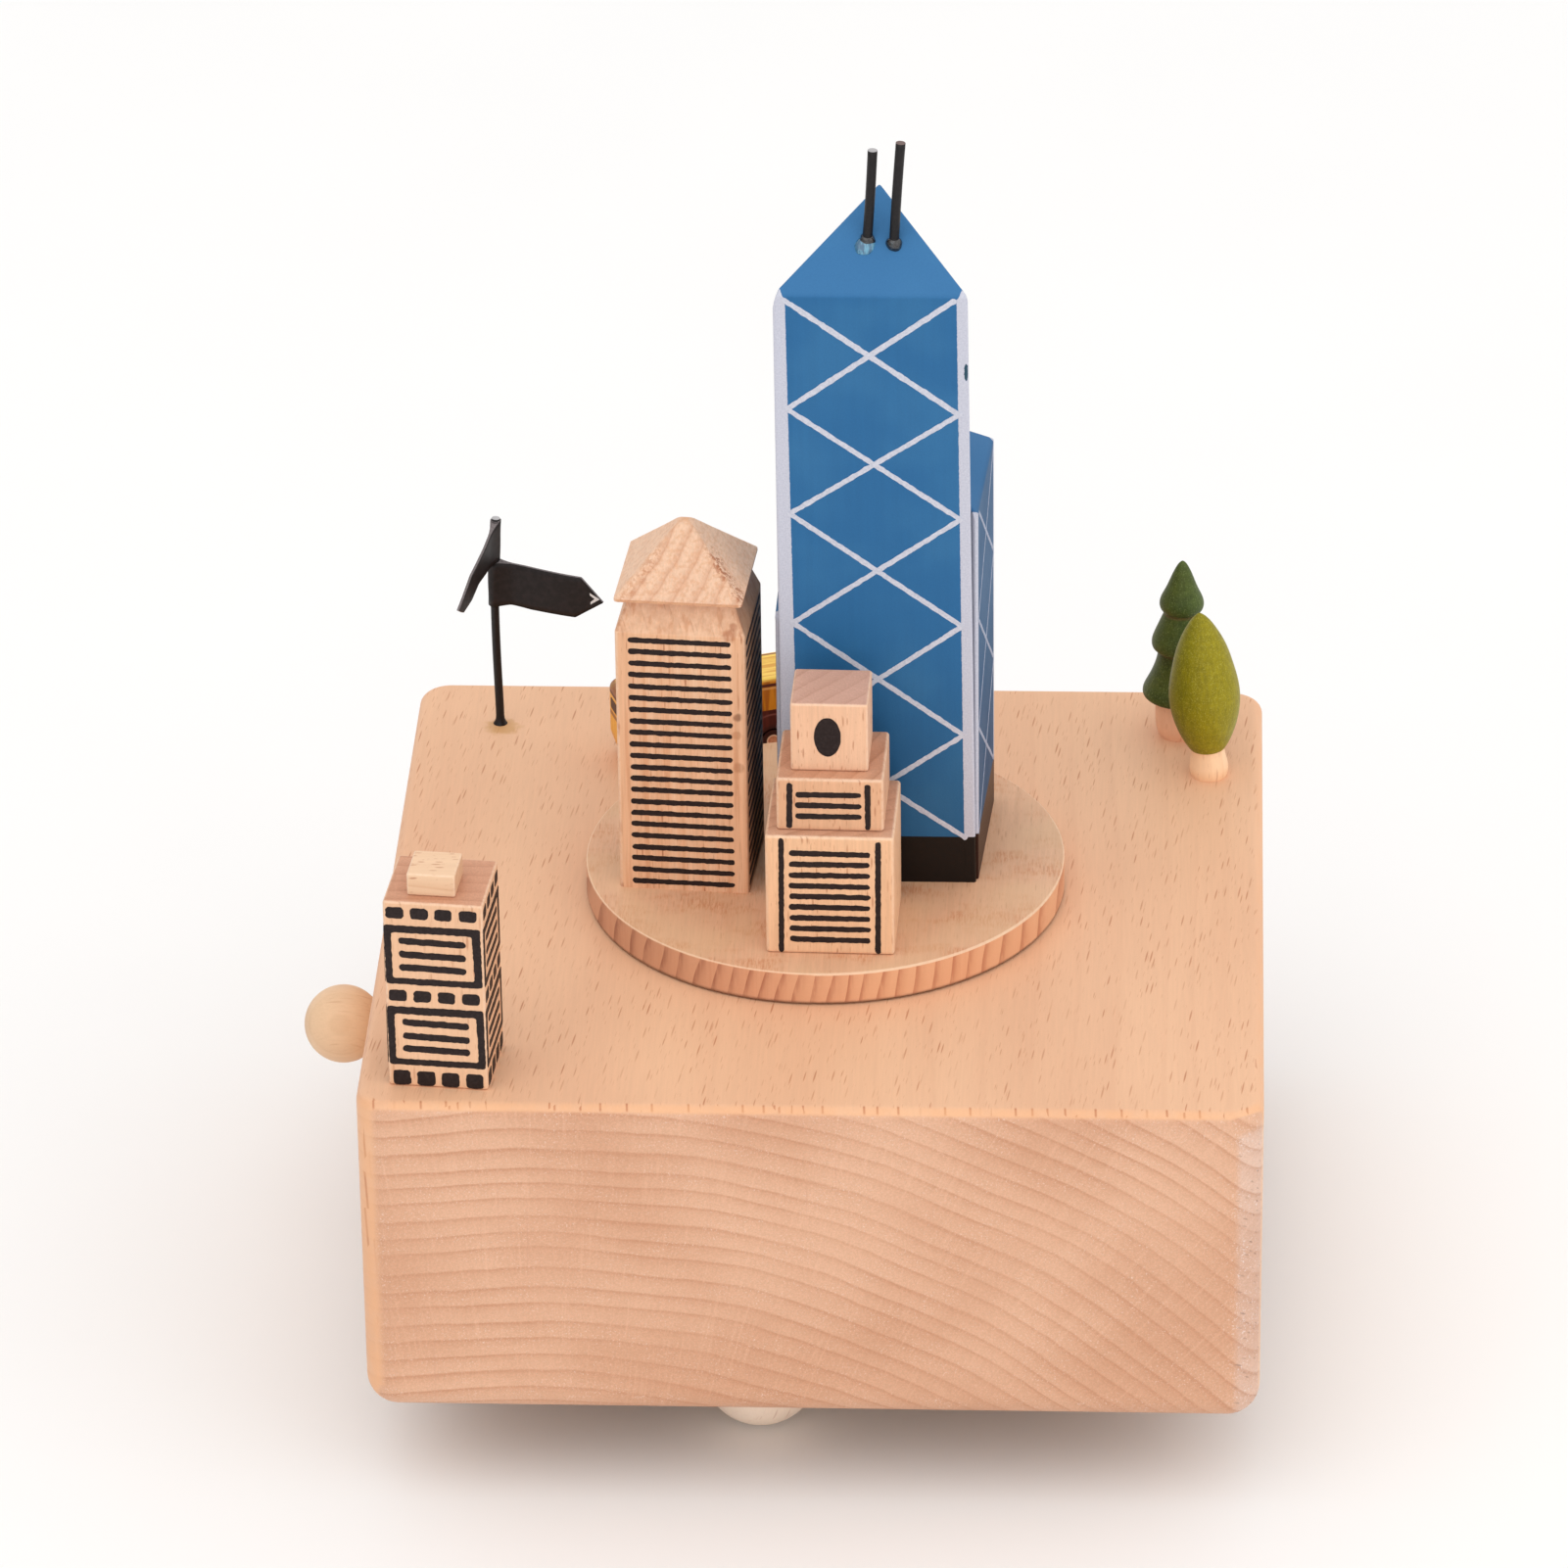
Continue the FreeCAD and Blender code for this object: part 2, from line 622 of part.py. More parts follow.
node(feature("GovernorFrame", frame), "governor_frame")

# bush in the ceiling and thrust washer under the disc
bush_o = cyl("BushOuter", "$bush_rad", "$base_height - $cavity_height", 0, 0, "$cavity_height")
bush_i = cyl("BushInner", "$shaft_rad + $running_gap", 10.0, 0, 0, "$cavity_height - 2")
node(cut("ShaftBush", bush_o, bush_i), "shaft_bush")
w_o = cyl("WasherOuter", 7.0, "$washer_thick", 0, 0, "$base_height")
w_i = cyl("WasherInner", 2.4, 2.0, 0, 0, "$base_height - 1")
node(cut("ThrustWasher", w_o, w_i), "thrust_washer")

X_AXIS = Rotation(Vector(0, 1, 0), 90)  # turns +Z to +X

# ---------------------------------------------------------------- drive wheel
WB, WT = v("wheel_bottom"), v("wheel_thick")
CB, CT = v("crown_bottom"), v("crown_thick")
MODULE, TEETH, IDLER_TEETH = 1.0, 20, 24
SPAN = MODULE * (TEETH + IDLER_TEETH) / 2
mid = Vector(WIND.x / 2, WIND.y / 2, 0)
side = math.sqrt(SPAN**2 - mid.Length**2)
IDLER = mid + Vector(mid.y, -mid.x, 0).normalize() * side
toward_idler = math.atan2(IDLER.y - WIND.y, IDLER.x - WIND.x)
toward_shaft = math.atan2(-IDLER.y, -IDLER.x)
idler_turn = toward_idler + math.pi + math.pi / IDLER_TEETH
step = 2 * math.pi / IDLER_TEETH
lead = (idler_turn - toward_shaft + step / 2) % step - step / 2
shaft_turn = toward_shaft + math.pi + math.pi / TEETH - lead * IDLER_TEETH / TEETH


def spur(teeth, turn, bore_r, holes, hole_at=6.0, hole_r=1.5, z0=WB):
    shape = prism(gear_outline(MODULE, teeth, 0.12, turn), z0, WB + WT)
    shape = shape.cut(Part.makeCylinder(bore_r, 10, Vector(0, 0, WB - 5)))
    for k in range(holes):
        a = 2 * math.pi * (k + 0.5) / holes + turn
        shape = shape.cut(Part.makeCylinder(hole_r, 6, Vector(hole_at * math.cos(a), hole_at * math.sin(a), WB - 3)))
    return shape


idler = spur(IDLER_TEETH, idler_turn, v("post_rad") + v("running_gap"), 5, 7.0, 2.2)
node(feature("IdlerWheel", idler, Placement(Vector(IDLER.x, IDLER.y, 0), Rotation())), "idler_wheel")
post = Part.makeCylinder(2.2, WB - 0.1 - PT, Vector(0, 0, PT))
post = post.fuse([
    Part.makeCylinder(v("post_rad"), 2.2, Vector(0, 0, WB - 0.2)),
    Part.makeCylinder(2.0, 0.6, Vector(0, 0, WB + WT + 0.1)),
]).removeSplitter()
node(feature("IdlerPost", post, Placement(Vector(IDLER.x, IDLER.y, 0), Rotation())), "idler_post")

CROWN_R, CROWN_N, PIN_N = 10.7, 30, 12
CROWN_M = 2 * CROWN_R / CROWN_N
PIN_R = CROWN_M * PIN_N / 2
Z_PITCH = ZC + PIN_R
bore = v("arbor_rad") + v("running_gap")
drive = spur(TEETH, toward_idler, bore, 0, z0=CB + CT)
drive = drive.fuse(Part.makeCylinder(CROWN_R + 1.1, CT, Vector(0, 0, CB)).cut(Part.makeCylinder(bore, 10, Vector(0, 0, 28))))
p_len = math.pi * CROWN_M
w_mid = p_len / 2 - 0.22
teeth = []
tan20 = math.tan(math.radians(20))
for k in range(CROWN_N):
    a = math.pi / 2 + 2 * math.pi * k / CROWN_N
    dz_up, dz_dn = CB - Z_PITCH + 0.01, 0.5
    top, bot = w_mid / 2 + dz_up * tan20, w_mid / 2 - dz_dn * tan20
    pts = [Vector(0, -top, Z_PITCH + dz_up), Vector(0, top, Z_PITCH + dz_up), Vector(0, bot, Z_PITCH - dz_dn), Vector(0, -bot, Z_PITCH - dz_dn)]
    tooth = Part.Face(Part.makePolygon(pts + [pts[0]])).extrude(Vector(2.0, 0, 0))
    tooth.translate(Vector(CROWN_R - 1.0, 0, 0))
    tooth.rotate(Vector(0, 0, 0), Vector(0, 0, 1), math.degrees(a))
    teeth.append(tooth)
drive = drive.fuse(teeth)
node(feature("DriveWheel", drive, Placement(Vector(WIND.x, WIND.y, 0), Rotation())), "drive_wheel")

# pawl on the drive wheel, held clear of the ratchet here
pawl = prism([(5.8, 1.3), (7.2, -1.0), (8.4, -1.0), (8.4, 0.6), (7.6, 1.2), (6.6, 2.0)], WB + WT, WB + WT + 0.7)
node(feature("RatchetPawl", pawl, Placement(Vector(WIND.x, WIND.y, 0), Rotation(Vector(0, 0, 1), 200))), "ratchet_pawl")

# ---------------------------------------------------------------- winding arbor
arbor = Part.makeCylinder(v("arbor_rad"), 34.85 - 15.2, Vector(0, 0, 15.2))
arbor = arbor.fuse(Part.makeCylinder(4.4, 0.75, Vector(0, 0, 15.2))).removeSplitter()
sq = v("arbor_socket")
arbor = arbor.cut(Part.makeBox(sq, sq, 34.0 - 14.0, Vector(-sq / 2, -sq / 2, 14.0)))
node(feature("WindingArbor", arbor, Placement(Vector(WIND.x, WIND.y, 0), Rotation())), "winding_arbor")
pts = []
for k in range(14):
    a0 = 2 * math.pi * k / 14
    pts += [(5.0 * math.cos(a0), 5.0 * math.sin(a0)), (4.2 * math.cos(a0 + 0.06), 4.2 * math.sin(a0 + 0.06))]
ratchet = prism(pts, WB + WT + 0.05, WB + WT + 0.75).cut(Part.makeCylinder(v("arbor_rad"), 6, Vector(0, 0, 30)))
node(feature("RatchetWheel", ratchet, Placement(Vector(WIND.x, WIND.y, 0), Rotation())), "ratchet_wheel")

# ---------------------------------------------------------------- winding knob
stem = box("StemBar", "$stem_side", "$stem_side", "$stem_top + 6", "$wind_x - $stem_side / 2", "$wind_y - $stem_side / 2", -6.0)
node(stem, "winding_stem")
ball = prim("Sphere", "WindingBallSphere", "$wind_x", "$wind_y", "$ball_z", Radius="$ball_rad")
ball_hole = box("BallHole", "$stem_side", "$stem_side", 20.0, "$wind_x - $stem_side / 2", "$wind_y - $stem_side / 2", -6.0)
node(cut("WindingBall", ball, ball_hole), "winding_ball")

# ---------------------------------------------------------------- start/stop rod
rod = Part.makeCylinder(v("rod_rad"), 34.4, Vector(-59.0, RY, v("rod_z")), Vector(1, 0, 0))
rod = rod.fuse(Part.makeCylinder(0.45, 2.6, Vector(-24.8, RY, v("rod_z")), Vector(1, 0, 0))).removeSplitter()
node(feature("StopRod", rod), "stop_rod")
sball = prim("Sphere", "StopBallSphere", "$stop_ball_x", "$rod_y", "$rod_z", Radius="$stop_ball_rad")
sbore = cyl("StopBallBore", "$rod_rad", 20.0, -59.0, "$rod_y", "$rod_z", X_AXIS)
node(cut("StopBall", sball, sbore), "stop_ball")

# ---------------------------------------------------------------- cylinder
surface = along_y(v("cyl_rad"), v("cyl_front"), v("cyl_front") + v("cyl_length"), 0, 0)
surface = surface.cut(along_y(v("axle_rad"), -40, 10, 0, 0))
pins = []
seed = 7
for track in range(18):
    y = y_first + pitch * track + 0.28
    for k in range(3):
        seed = (seed * 73 + 41) % 997
        a = math.radians(360.0 * k / 3 + (seed % 97))
        if abs(math.sin(a)) < 0.12 and math.cos(a) > 0:
            a += 0.35
        pin = Part.makeCylinder(0.16, 1.0, Vector(4.45, y, 0), Vector(1, 0, 0))
        pin.rotate(Vector(0, 0, 0), Vector(0, 1, 0), math.degrees(a))
        pins.append(pin)
surface = surface.fuse(pins)
node(feature("PinnedCylinder", surface, Placement(Vector(AX, 0, ZC), Rotation())), "pinned_cylinder")


def gear_y(module, teeth, play, turn, y0, y1, **kw):
    """A spur gear about +Y at the origin; turn is measured from +X towards +Z."""
    shape = prism(gear_outline(module, teeth, play, turn, **kw), 0, y1 - y0)
    # (x, y, z) -> (x, z, y) keeps turn measured from +X towards +Z
    shape = shape.mirror(Vector(0, 0, 0), Vector(0, 1, 0))
    shape.rotate(Vector(0, 0, 0), Vector(1, 0, 0), -90)
    shape.translate(Vector(0, y0, 0))
    return shape


y_crown = WIND.y + CROWN_R
cyl_arbor = along_y(v("axle_rad"), y_crown - 1.1, -1.6, 0, 0)
gap = math.pi / PIN_N  # half a tooth pitch: a gap faces up
pinion = gear_y(CROWN_M, PIN_N, 0.22, math.pi / 2 + gap, y_crown - 0.8, y_crown + 0.8, add=0.68, ded=1.05)
GM = 0.45
cgear = gear_y(GM, 22, 0.07, math.pi, -4.45, -3.55)
cyl_arbor = cyl_arbor.fuse([pinion, cgear]).removeSplitter()
node(feature("CylinderArbor", cyl_arbor, Placement(Vector(AX, 0, ZC), Rotation())), "cylinder_arbor")

# ---------------------------------------------------------------- governor
gw = along_y(0.5, -6.3, 5.6, 0, 0)
gw = gw.fuse(gear_y(GM, 10, 0.07, math.pi / 10, -4.45, -3.55))
gw = gw.fuse(gear_y(0.5, 16, 0.2, math.pi, RY - 0.6, RY + 0.6))
gw = gw.removeSplitter()
node(feature("GovernorWheel", gw, Placement(Vector(GX, 0, ZC), Rotation())), "governor_wheel")
spindle = Part.makeCylinder(0.4, 30.7 - 17.6, Vector(0, 0, 17.6))
spindle = spindle.fuse(Part.makeCylinder(1.2, 1.6, Vector(0, 0, 21.4))).removeSplitter()
node(feature("GovernorSpindle", spindle, Placement(Vector(FX, RY, 0), Rotation())), "governor_spindle")
fan = Part.makeBox(2 * v("fan_rad"), 0.3, 2.6, Vector(-v("fan_rad"), -0.15, 18.7))
fan = fan.fuse(Part.makeCylinder(0.9, 2.6, Vector(0, 0, 18.7))).removeSplitter()
fan = fan.cut(Part.makeCylinder(0.4, 5, Vector(0, 0, 18)))
node(feature("GovernorFan", fan, Placement(Vector(FX, RY, 0), Rotation(Vector(0, 0, 1), 35))), "governor_fan")

# ================================================================ turntable
b = body("DiscBody")
s = sketch(b, "DiscOutline", lift="$disc_bottom")
sk_circle(s, 0, 0, "$disc_rad")
p = pad(b, s, "$disc_thick")
f = pd_fillet(b, p, "$disc_round", lambda e: True)
s = sketch(b, "DiscBore", lift="$disc_bottom")
sk_circle(s, 0, 0, "$shaft_rad")
pocket(b, s, "$shaft_top - $disc_bottom", True)
node(b, "turntable_disc")
shaft = cyl("TurntableShaft", "$shaft_rad", "$shaft_top - $shaft_bottom", 0, 0, "$shaft_bottom")
node(shaft, "turntable_shaft")
disc_gear = spur(TEETH, shaft_turn, v("shaft_rad"), 6)
disc_gear = disc_gear.fuse(Part.makeCylinder(4.2, 1.0, Vector(0, 0, WB + WT)).cut(Part.makeCylinder(v("shaft_rad"), 5, Vector(0, 0, WB)))).removeSplitter()
node(feature("TurntableGear", disc_gear), "turntable_gear")
AB, AT = v("arm_bottom"), v("arm_thick")
arm = Part.makeBox(v("orbit_rad"), 7.0, AT, Vector(0, -3.5, AB))
arm = arm.fuse([
    Part.makeCylinder(5.5, AT, Vector(v("orbit_rad"), 0, AB)),
    Part.makeCylinder(5.5, AT + 1.5, Vector(0, 0, AB)),
    Part.makeCylinder(3.5, AT, Vector(-10, 0, AB)),
    Part.makeBox(10, 7.0, AT, Vector(-10, -3.5, AB)),
]).removeSplitter()
arm = arm.cut(Part.makeCylinder(v("shaft_rad"), 20, Vector(0, 0, 30)))
arm = arm.cut(Part.makeCylinder(v("magnet_rad"), 5, Vector(v("orbit_rad"), 0, AB + 1.4)))
arm_rot = Rotation(Vector(0, 0, 1), TRAM_DEG)
node(feature("MagnetArm", arm, Placement(Vector(0, 0, 0), arm_rot)), "magnet_arm")
mag_x = v("orbit_rad") * math.cos(math.radians(TRAM_DEG))
mag_y = v("orbit_rad") * math.sin(math.radians(TRAM_DEG))
magnet = cyl("DriveMagnet", "$magnet_rad", 3.2, mag_x, mag_y, AB + 1.4)
node(magnet, "drive_magnet")
clip_o = cyl("ClipOuter", 3.6, 0.6, 0, 0, "$shaft_bottom + 0.05")
clip_i = cyl("ClipInner", "$shaft_rad", 2.0, 0, 0, "$shaft_bottom - 1")
clip_slot = box("ClipSlot", 5.0, 2.6, 2.0, 0, -1.3, "$shaft_bottom - 1")
node(cut("ShaftClip", clip_o, clip_i, clip_slot), "shaft_clip")


# ---- tower: four triangular shafts round one upright edge
def tri_shaft(a, c, t, z_eave, z_apex, corner_a, corner_c, taper=1.0, shift=(0.0, 0.0), tip=1.2):
    """A three-sided shaft: outer corners a and c, inner corner t, given at the disc.
    At z 130 the outline is taper times as large and moved by shift, so the shaft can lean.
    The roof rises from the outer face's top to the inner corner. The roof's corners over a
    and c have the radii corner_a and corner_c, its tip the radius tip, seen from outside."""
    z0 = v("disc_top")

    def at(p, z):
        k = (z - z0) / (130.0 - z0)
        return Vector(p[0] + ((taper - 1.0) * p[0] + shift[0]) * k, p[1] + ((taper - 1.0) * p[1] + shift[1]) * k, z)

    A, Cc, T = at(a, z0), at(c, z0), at(t, z0)
    Au, Cu, Tu = at(a, z_eave), at(c, z_eave), at(t, z_apex)
    polys = [[A, T, Cc], [A, Cc, Cu, Au], [Cc, T, Tu, Cu], [T, A, Au, Tu], [Au, Cu, Tu]]
    solid = Part.Solid(Part.Shell([Part.Face(Part.makePolygon(q + [q[0]])) for q in polys]))
    if solid.Volume < 0:
        solid.reverse()
    r_edge = 0.3

    def outer(e):
        lo, hi = sorted((q.Point for q in e.Vertexes), key=lambda q: q.z)
        return hi.z - lo.z > 5 and min((lo - A).Length, (lo - Cc).Length) < 1e-3

    solid = solid.makeFillet(r_edge, [e for e in solid.Edges if outer(e) or min(q.Point.z for q in e.Vertexes) > z_eave - 1e-3])
    # the outline seen square on to the outer face: u along a-c, with its corners rounded
    ex = (Cc - A).normalize()
    ey = Vector(-ex.y, ex.x, 0)
    out = []
    for lo, hi, far in ((A, Au, Cc), (Cc, Cu, A)):
        to_t, to_far = (T - lo), (far - lo)
        ang = to_t.getAngle(to_far)
        rec = (r_edge / math.tan(ang / 2) - r_edge - 0.03) * (1 if far == Cc else -1)
        slope = (z_apex - z_eave) / ((Tu - A).dot(ex) - (hi - A).dot(ex))
        out.append(((lo - A).dot(ex) + rec, (hi - A).dot(ex) + rec, z_eave + rec * slope + 0.03))
    (l0, l1, lz), (r0, r1, rz) = out
    pts = [(l0, z0 - 1), (r0, z0 - 1), (r1, rz), ((Tu - A).dot(ex), z_apex + 0.03), (l1, lz)]
    world = [A + ex * u + Vector(0, 0, z - z0) - ey * 2 for u, z in pts]
    mask = Part.Face(Part.makePolygon(world + [world[0]])).extrude(ey * 30)
    for k, r in ((2, corner_c), (3, tip), (4, corner_a)):
        p = world[k]
        edge = [e for e in mask.Edges if len(e.Vertexes) == 2 and abs((e.Vertexes[0].Point - e.Vertexes[1].Point).Length - 30) < 1e-3
                and min((q.Point - p).Length for q in e.Vertexes) < 1e-3]
        mask = mask.makeFillet(r, edge)
    solid = solid.common(mask)
    if solid.ShapeType != "Solid":
        solid = solid.Solids[0]
    return solid


front_sh = tri_shaft((-5.49, -6.9), (19.52, -6.9), (7.98, 4.9), v("tower_front_eave"), v("tower_front_apex"), 5.5, 3.5, 0.9788, (-0.466, -0.146), 2.1)
right_sh = tri_shaft((19.37, -6.45), (20.92, 14.9), (8.08, 5.0), v("tower_right_eave"), v("tower_right_apex"), 3.5, 3.5)
rear_sh = tri_shaft((20.9, 15.35), (-5.2, 16.6), (7.98, 5.1), v("tower_rear_eave"), v("tower_rear_apex"), 3.5, 3.5)
left_sh = tri_shaft((-5.4, 16.3), (-5.6, -6.2), (7.88, 5.0), v("tower_left_eave"), v("tower_left_apex"), 3.5, 3.5)
ANT = [((5.93, -1.23, 134.8), (6.68, -1.23, 147.03)), ((9.18, -1.6, 134.5), (10.08, -1.6, 148.2))]
wires = []
for lo, hi in ANT:
    lo, hi = Vector(*lo), Vector(*hi)
    d = (hi - lo).normalize()
    start = lo - d * 2.2
    wires.append(Part.makeCylinder(v("antenna_rad"), (hi - start).Length, start, d))
    front_sh = front_sh.cut(Part.makeCylinder(v("antenna_rad"), 6.0, start, d))
node(feature("TowerFront", front_sh), "tower_front_shaft")
node(feature("TowerRight", right_sh), "tower_right_shaft")
node(feature("TowerLeft", left_sh), "tower_left_shaft")
node(feature("TowerRear", rear_sh), "tower_rear_shaft")
node(feature("Antennas", Part.makeCompound(wires)), "antennas")


# ---- square buildings
def block_node(label, w, d, z0, z1, x, y, deg, r=0.45):
    """A wooden block with softened edges; w, d are aliases."""
    raw = box(label + "_raw", "$" + w, "$" + d, z1 - z0 if not isinstance(z1, str) else "$%s - %s" % (z1, z0 if not isinstance(z0, str) else "$" + z0))
    soft = edge_round(label + "_soft", raw, r, lambda e: True)
    rot = Rotation(Vector(0, 0, 1), deg)
    off = rot.multVec(Vector(-v(w) / 2, -v(d) / 2, 0))
    zz = v(z0) if isinstance(z0, str) else z0
    soft.Placement = Placement(Vector(x + off.x, y + off.y, zz), rot)
    return node(soft, label)


block_node("stepped_building_base", "step1_w", "step1_d", "disc_top", "step1_top", 1.80, -17.66, -1.4)
block_node("stepped_building_middle", "step2_w", "step2_d", "step1_top", "step2_top", 1.83, -17.33, -1.4)
block_node("stepped_building_top", "step3_w", "step3_d", "step2_top", "step3_top", 1.70, -17.03, -1.4, 0.35)
block_node("corner_building", "corner_w", "corner_d", "base_height", "corner_top", -44.45, -45.07, -5.4, 0.4)
block_node("corner_building_cap", "corner_cap_w", "corner_cap_d", "corner_top", "corner_cap_top", -44.97, -46.1, -5.4, 0.3)


def loft(rects):
    """A solid through centred rectangles (w, d, z)."""
    wires_ = []
    for w, d, z in rects:
        pts_ = [Vector(-w / 2, -d / 2, z), Vector(w / 2, -d / 2, z), Vector(w / 2, d / 2, z), Vector(-w / 2, d / 2, z)]
        wires_.append(Part.makePolygon(pts_ + [pts_[0]]))
    return Part.makeLoft(wires_, True, True)


z0, zs, zn, ins = v("disc_top"), v("tall_shoulder"), v("tall_neck"), v("tall_inset")
tw, td = v("tall_w"), v("tall_d")
tall = loft([(tw, td, z0), (tw, td, zs), (tw - 2 * ins, td - 2 * ins, zn)])
tall = tall.makeFillet(0.5, [e for e in tall.Edges if e.CenterOfMass.z > z0 + 0.1])
TALL = Placement(Vector(-16.56, -2.15, 0), Rotation(Vector(0, 0, 1), -4.7))
node(feature("TallBuilding", tall, TALL), "tall_building")
rs, ra = v("roof_side"), v("roof_apex")
hh = rs / 2


def soft_square(half, r, z):
    """A square outline with rounded corners."""
    k, m = half - r, half - r + r * math.cos(math.pi / 4)
    edges_ = []
    for q in range(4):
        turn_ = Rotation(Vector(0, 0, 1), 90 * q)
        p1, p2, p3, p4 = (turn_.multVec(Vector(x, y, z)) for x, y in ((-k, -half), (k, -half), (m, -m), (half, -k)))
        edges_.append(Part.LineSegment(p1, p2).toShape())
        edges_.append(Part.Arc(p2, p3, p4).toShape())
    return Part.Wire(edges_)


# slope of the faces, and an apex rounded to apex_r
rise = ra - (zn + 0.35)
run = math.hypot(hh, rise)
apex_r = 1.7
zc = ra - apex_r * run / hh
full = lambda z: hh * (ra - z) / rise
sections = [(hh, 0.55, zn), (hh, 0.6, zn + 0.35)]
z_touch = zc + apex_r * hh / run
for i in range(1, 5):
    z = zn + 0.35 + (z_touch - zn - 0.35) * i / 4
    sections.append((full(z), min(0.6, 0.36 * full(z)), z))
last = 0.36
for ang in (35, 25, 16, 8):
    a_ = math.radians(ang)
    if apex_r * math.sin(a_) >= sections[-1][0] - 1e-3:
        continue
    half_ = apex_r * math.sin(a_)
    last = min(0.96, last + 0.12)
    sections.append((half_, half_ * last, zc + apex_r * math.cos(a_)))
roof = Part.makeLoft([soft_square(*q) for q in sections], True, True)
node(feature("TallRoof", roof, Placement(Vector(-16.72, -2.25, 0), Rotation(Vector(0, 0, 1), -4.7))), "tall_building_roof")

# ================================================================ trees, sign
def leaning(crown_runs, trunk_run, lean, x, y, crown_label, trunk_label):
    """A turned crown on a turned trunk, both leaning alike about Y. The trunk's foot is cut level and its spigot is upright. Heights are above the base."""
    tilt_ = Rotation(Vector(0, 1, 0), lean)
    crown = turned([[(r, z - v("base_height")) for r, z in run_] for run_ in crown_runs])
    node(feature(crown_label + "_shape", crown, Placement(Vector(v(x), v(y), v("base_height")), tilt_)), crown_label)
    foot = turned([[(r, z - v("base_height")) for r, z in trunk_run]])
    foot.Placement = Placement(Vector(0, 0, 0), tilt_)
    foot = foot.cut(Part.makeBox(20, 20, 10, Vector(-10, -10, -10)))
    foot = foot.fuse(Part.makeCylinder(v("spigot_rad"), 3.5, Vector(0, 0, -3.0))).removeSplitter()
    node(feature(trunk_label + "_shape", foot, Placement(Vector(v(x), v(y), v("base_height")), Rotation())), trunk_label)


leaning([
    [(0.0, 69.66), (0.29, 69.46), (0.8, 68.74), (1.61, 66.83), (2.22, 65.35), (2.68, 64.36), (2.86, 63.55), (2.71, 62.89), (2.17, 62.42)],
    [(2.17, 62.42), (2.8, 60.78), (3.46, 59.11), (3.73, 58.17), (3.67, 57.44), (2.86, 56.99)],
    [(2.86, 56.99), (3.3, 54.58), (4.01, 52.74), (4.49, 51.74), (4.75, 51.02), (4.72, 50.52), (4.13, 50.14), (3.22, 49.75)],
], [(3.0, 49.75), (3.06, 48.8), (3.08, 47.4), (2.98, 46.0), (2.75, 45.1), (2.45, 44.2)], 0.72, "fir_x", "fir_y", "fir_crown", "fir_trunk")
leaning([
    [(0.0, 67.91), (0.83, 67.24), (1.78, 65.91), (2.64, 64.27), (3.31, 62.59), (3.9, 60.37), (4.39, 58.02), (4.56, 55.65), (4.2, 53.04), (3.45, 50.7), (2.95, 49.6), (2.3, 48.5)],
], [(2.15, 48.5), (2.18, 47.5), (2.37, 46.6), (2.5, 45.7), (2.4, 44.8), (2.15, 44.1)], -3.68, "oval_x", "oval_y", "oval_tree_crown", "oval_tree_trunk")

pole = cyl("SignPole", "$pole_rad", "$pole_top - $base_height + 3", "$pole_x", "$pole_y", "$base_height - 3")
node(pole, "sign_pole")


def flag(points, psi, z0, z1, label, wrap):
    """A strip bent round the pole: points are (distance, height) in the flag's plane, wrap its thickness round the pole."""
    th = v("flag_thick")
    poly = [Vector(r, -th / 2, z) for r, z in points]
    plate = Part.Face(Part.makePolygon(poly + [poly[0]])).extrude(Vector(0, th, 0))
    sleeve = Part.makeCylinder(v("pole_rad") + wrap, z1 - z0, Vector(0, 0, z0))
    shape = plate.fuse(sleeve).cut(Part.makeCylinder(v("pole_rad"), 60, Vector(0, 0, 40))).removeSplitter()
    return node(feature(label + "_shape", shape, Placement(Vector(v("pole_x"), v("pole_y"), 0), Rotation(Vector(0, 0, 1), psi))), label)


flag([(0.4, 68.4), (11.9, 67.75), (14.9, 64.45), (11.1, 61.85), (0.4, 61.9)], -16.0, 62.0, 68.3, "sign_flag_right", 0.35)
flag([(0.4, 74.3), (4.6, 72.55), (9.4, 71.05), (11.9, 69.3), (13.95, 68.2), (12.6, 66.75), (11.9, 66.75), (9.2, 67.2), (6.7, 68.3), (3.0, 68.4), (0.4, 68.4)], -103.0, 68.5, 74.3, "sign_flag_left", 0.16)

# ================================================================ tram
L, W = v("tram_length"), v("tram_width")
tb, tr = v("tram_bottom"), v("tram_roof_top")
tbody = Part.makeBox(L, W, tr - tb, Vector(-L / 2, -W / 2, tb))
tbody = tbody.makeFillet(2.2, [e for e in tbody.Edges if upright(e)])
tbody = tbody.makeFillet(0.7, [e for e in tbody.Edges if at_height(tr)(e)])
for sx in (-1, 1):
    # the ends draw in below, like a bumper
    slant = Part.Face(Part.makePolygon([Vector(sx * (L / 2 + 0.1), -W, 48.9), Vector(sx * (L / 2 - 1.3), -W, tb - 0.1), Vector(sx * (L / 2 + 0.5), -W, tb - 0.1), Vector(sx * (L / 2 + 0.1), -W, 48.9)]))
    tbody = tbody.cut(slant.extrude(Vector(0, 2 * W, 0)))
WR, WA = v("tram_wheel_rad"), v("tram_wheel_at")
WZ = v("base_height") + 0.08 + WR
for sx in (-1, 1):
    for sy in (-1, 1):
        arch = Part.makeCylinder(WR + 0.3, 2.6, Vector(sx * WA, sy * W / 2 - 1.3, WZ), Vector(0, 1, 0))
        tbody = tbody.cut(arch)
    tbody = tbody.cut(Part.makeCylinder(0.45, W + 4, Vector(sx * WA, -W / 2 - 2, WZ), Vector(0, 1, 0)))
tbody = tbody.cut(Part.makeCylinder(v("tram_magnet_rad"), 3.0, Vector(0, 0, tb - 1.0)))
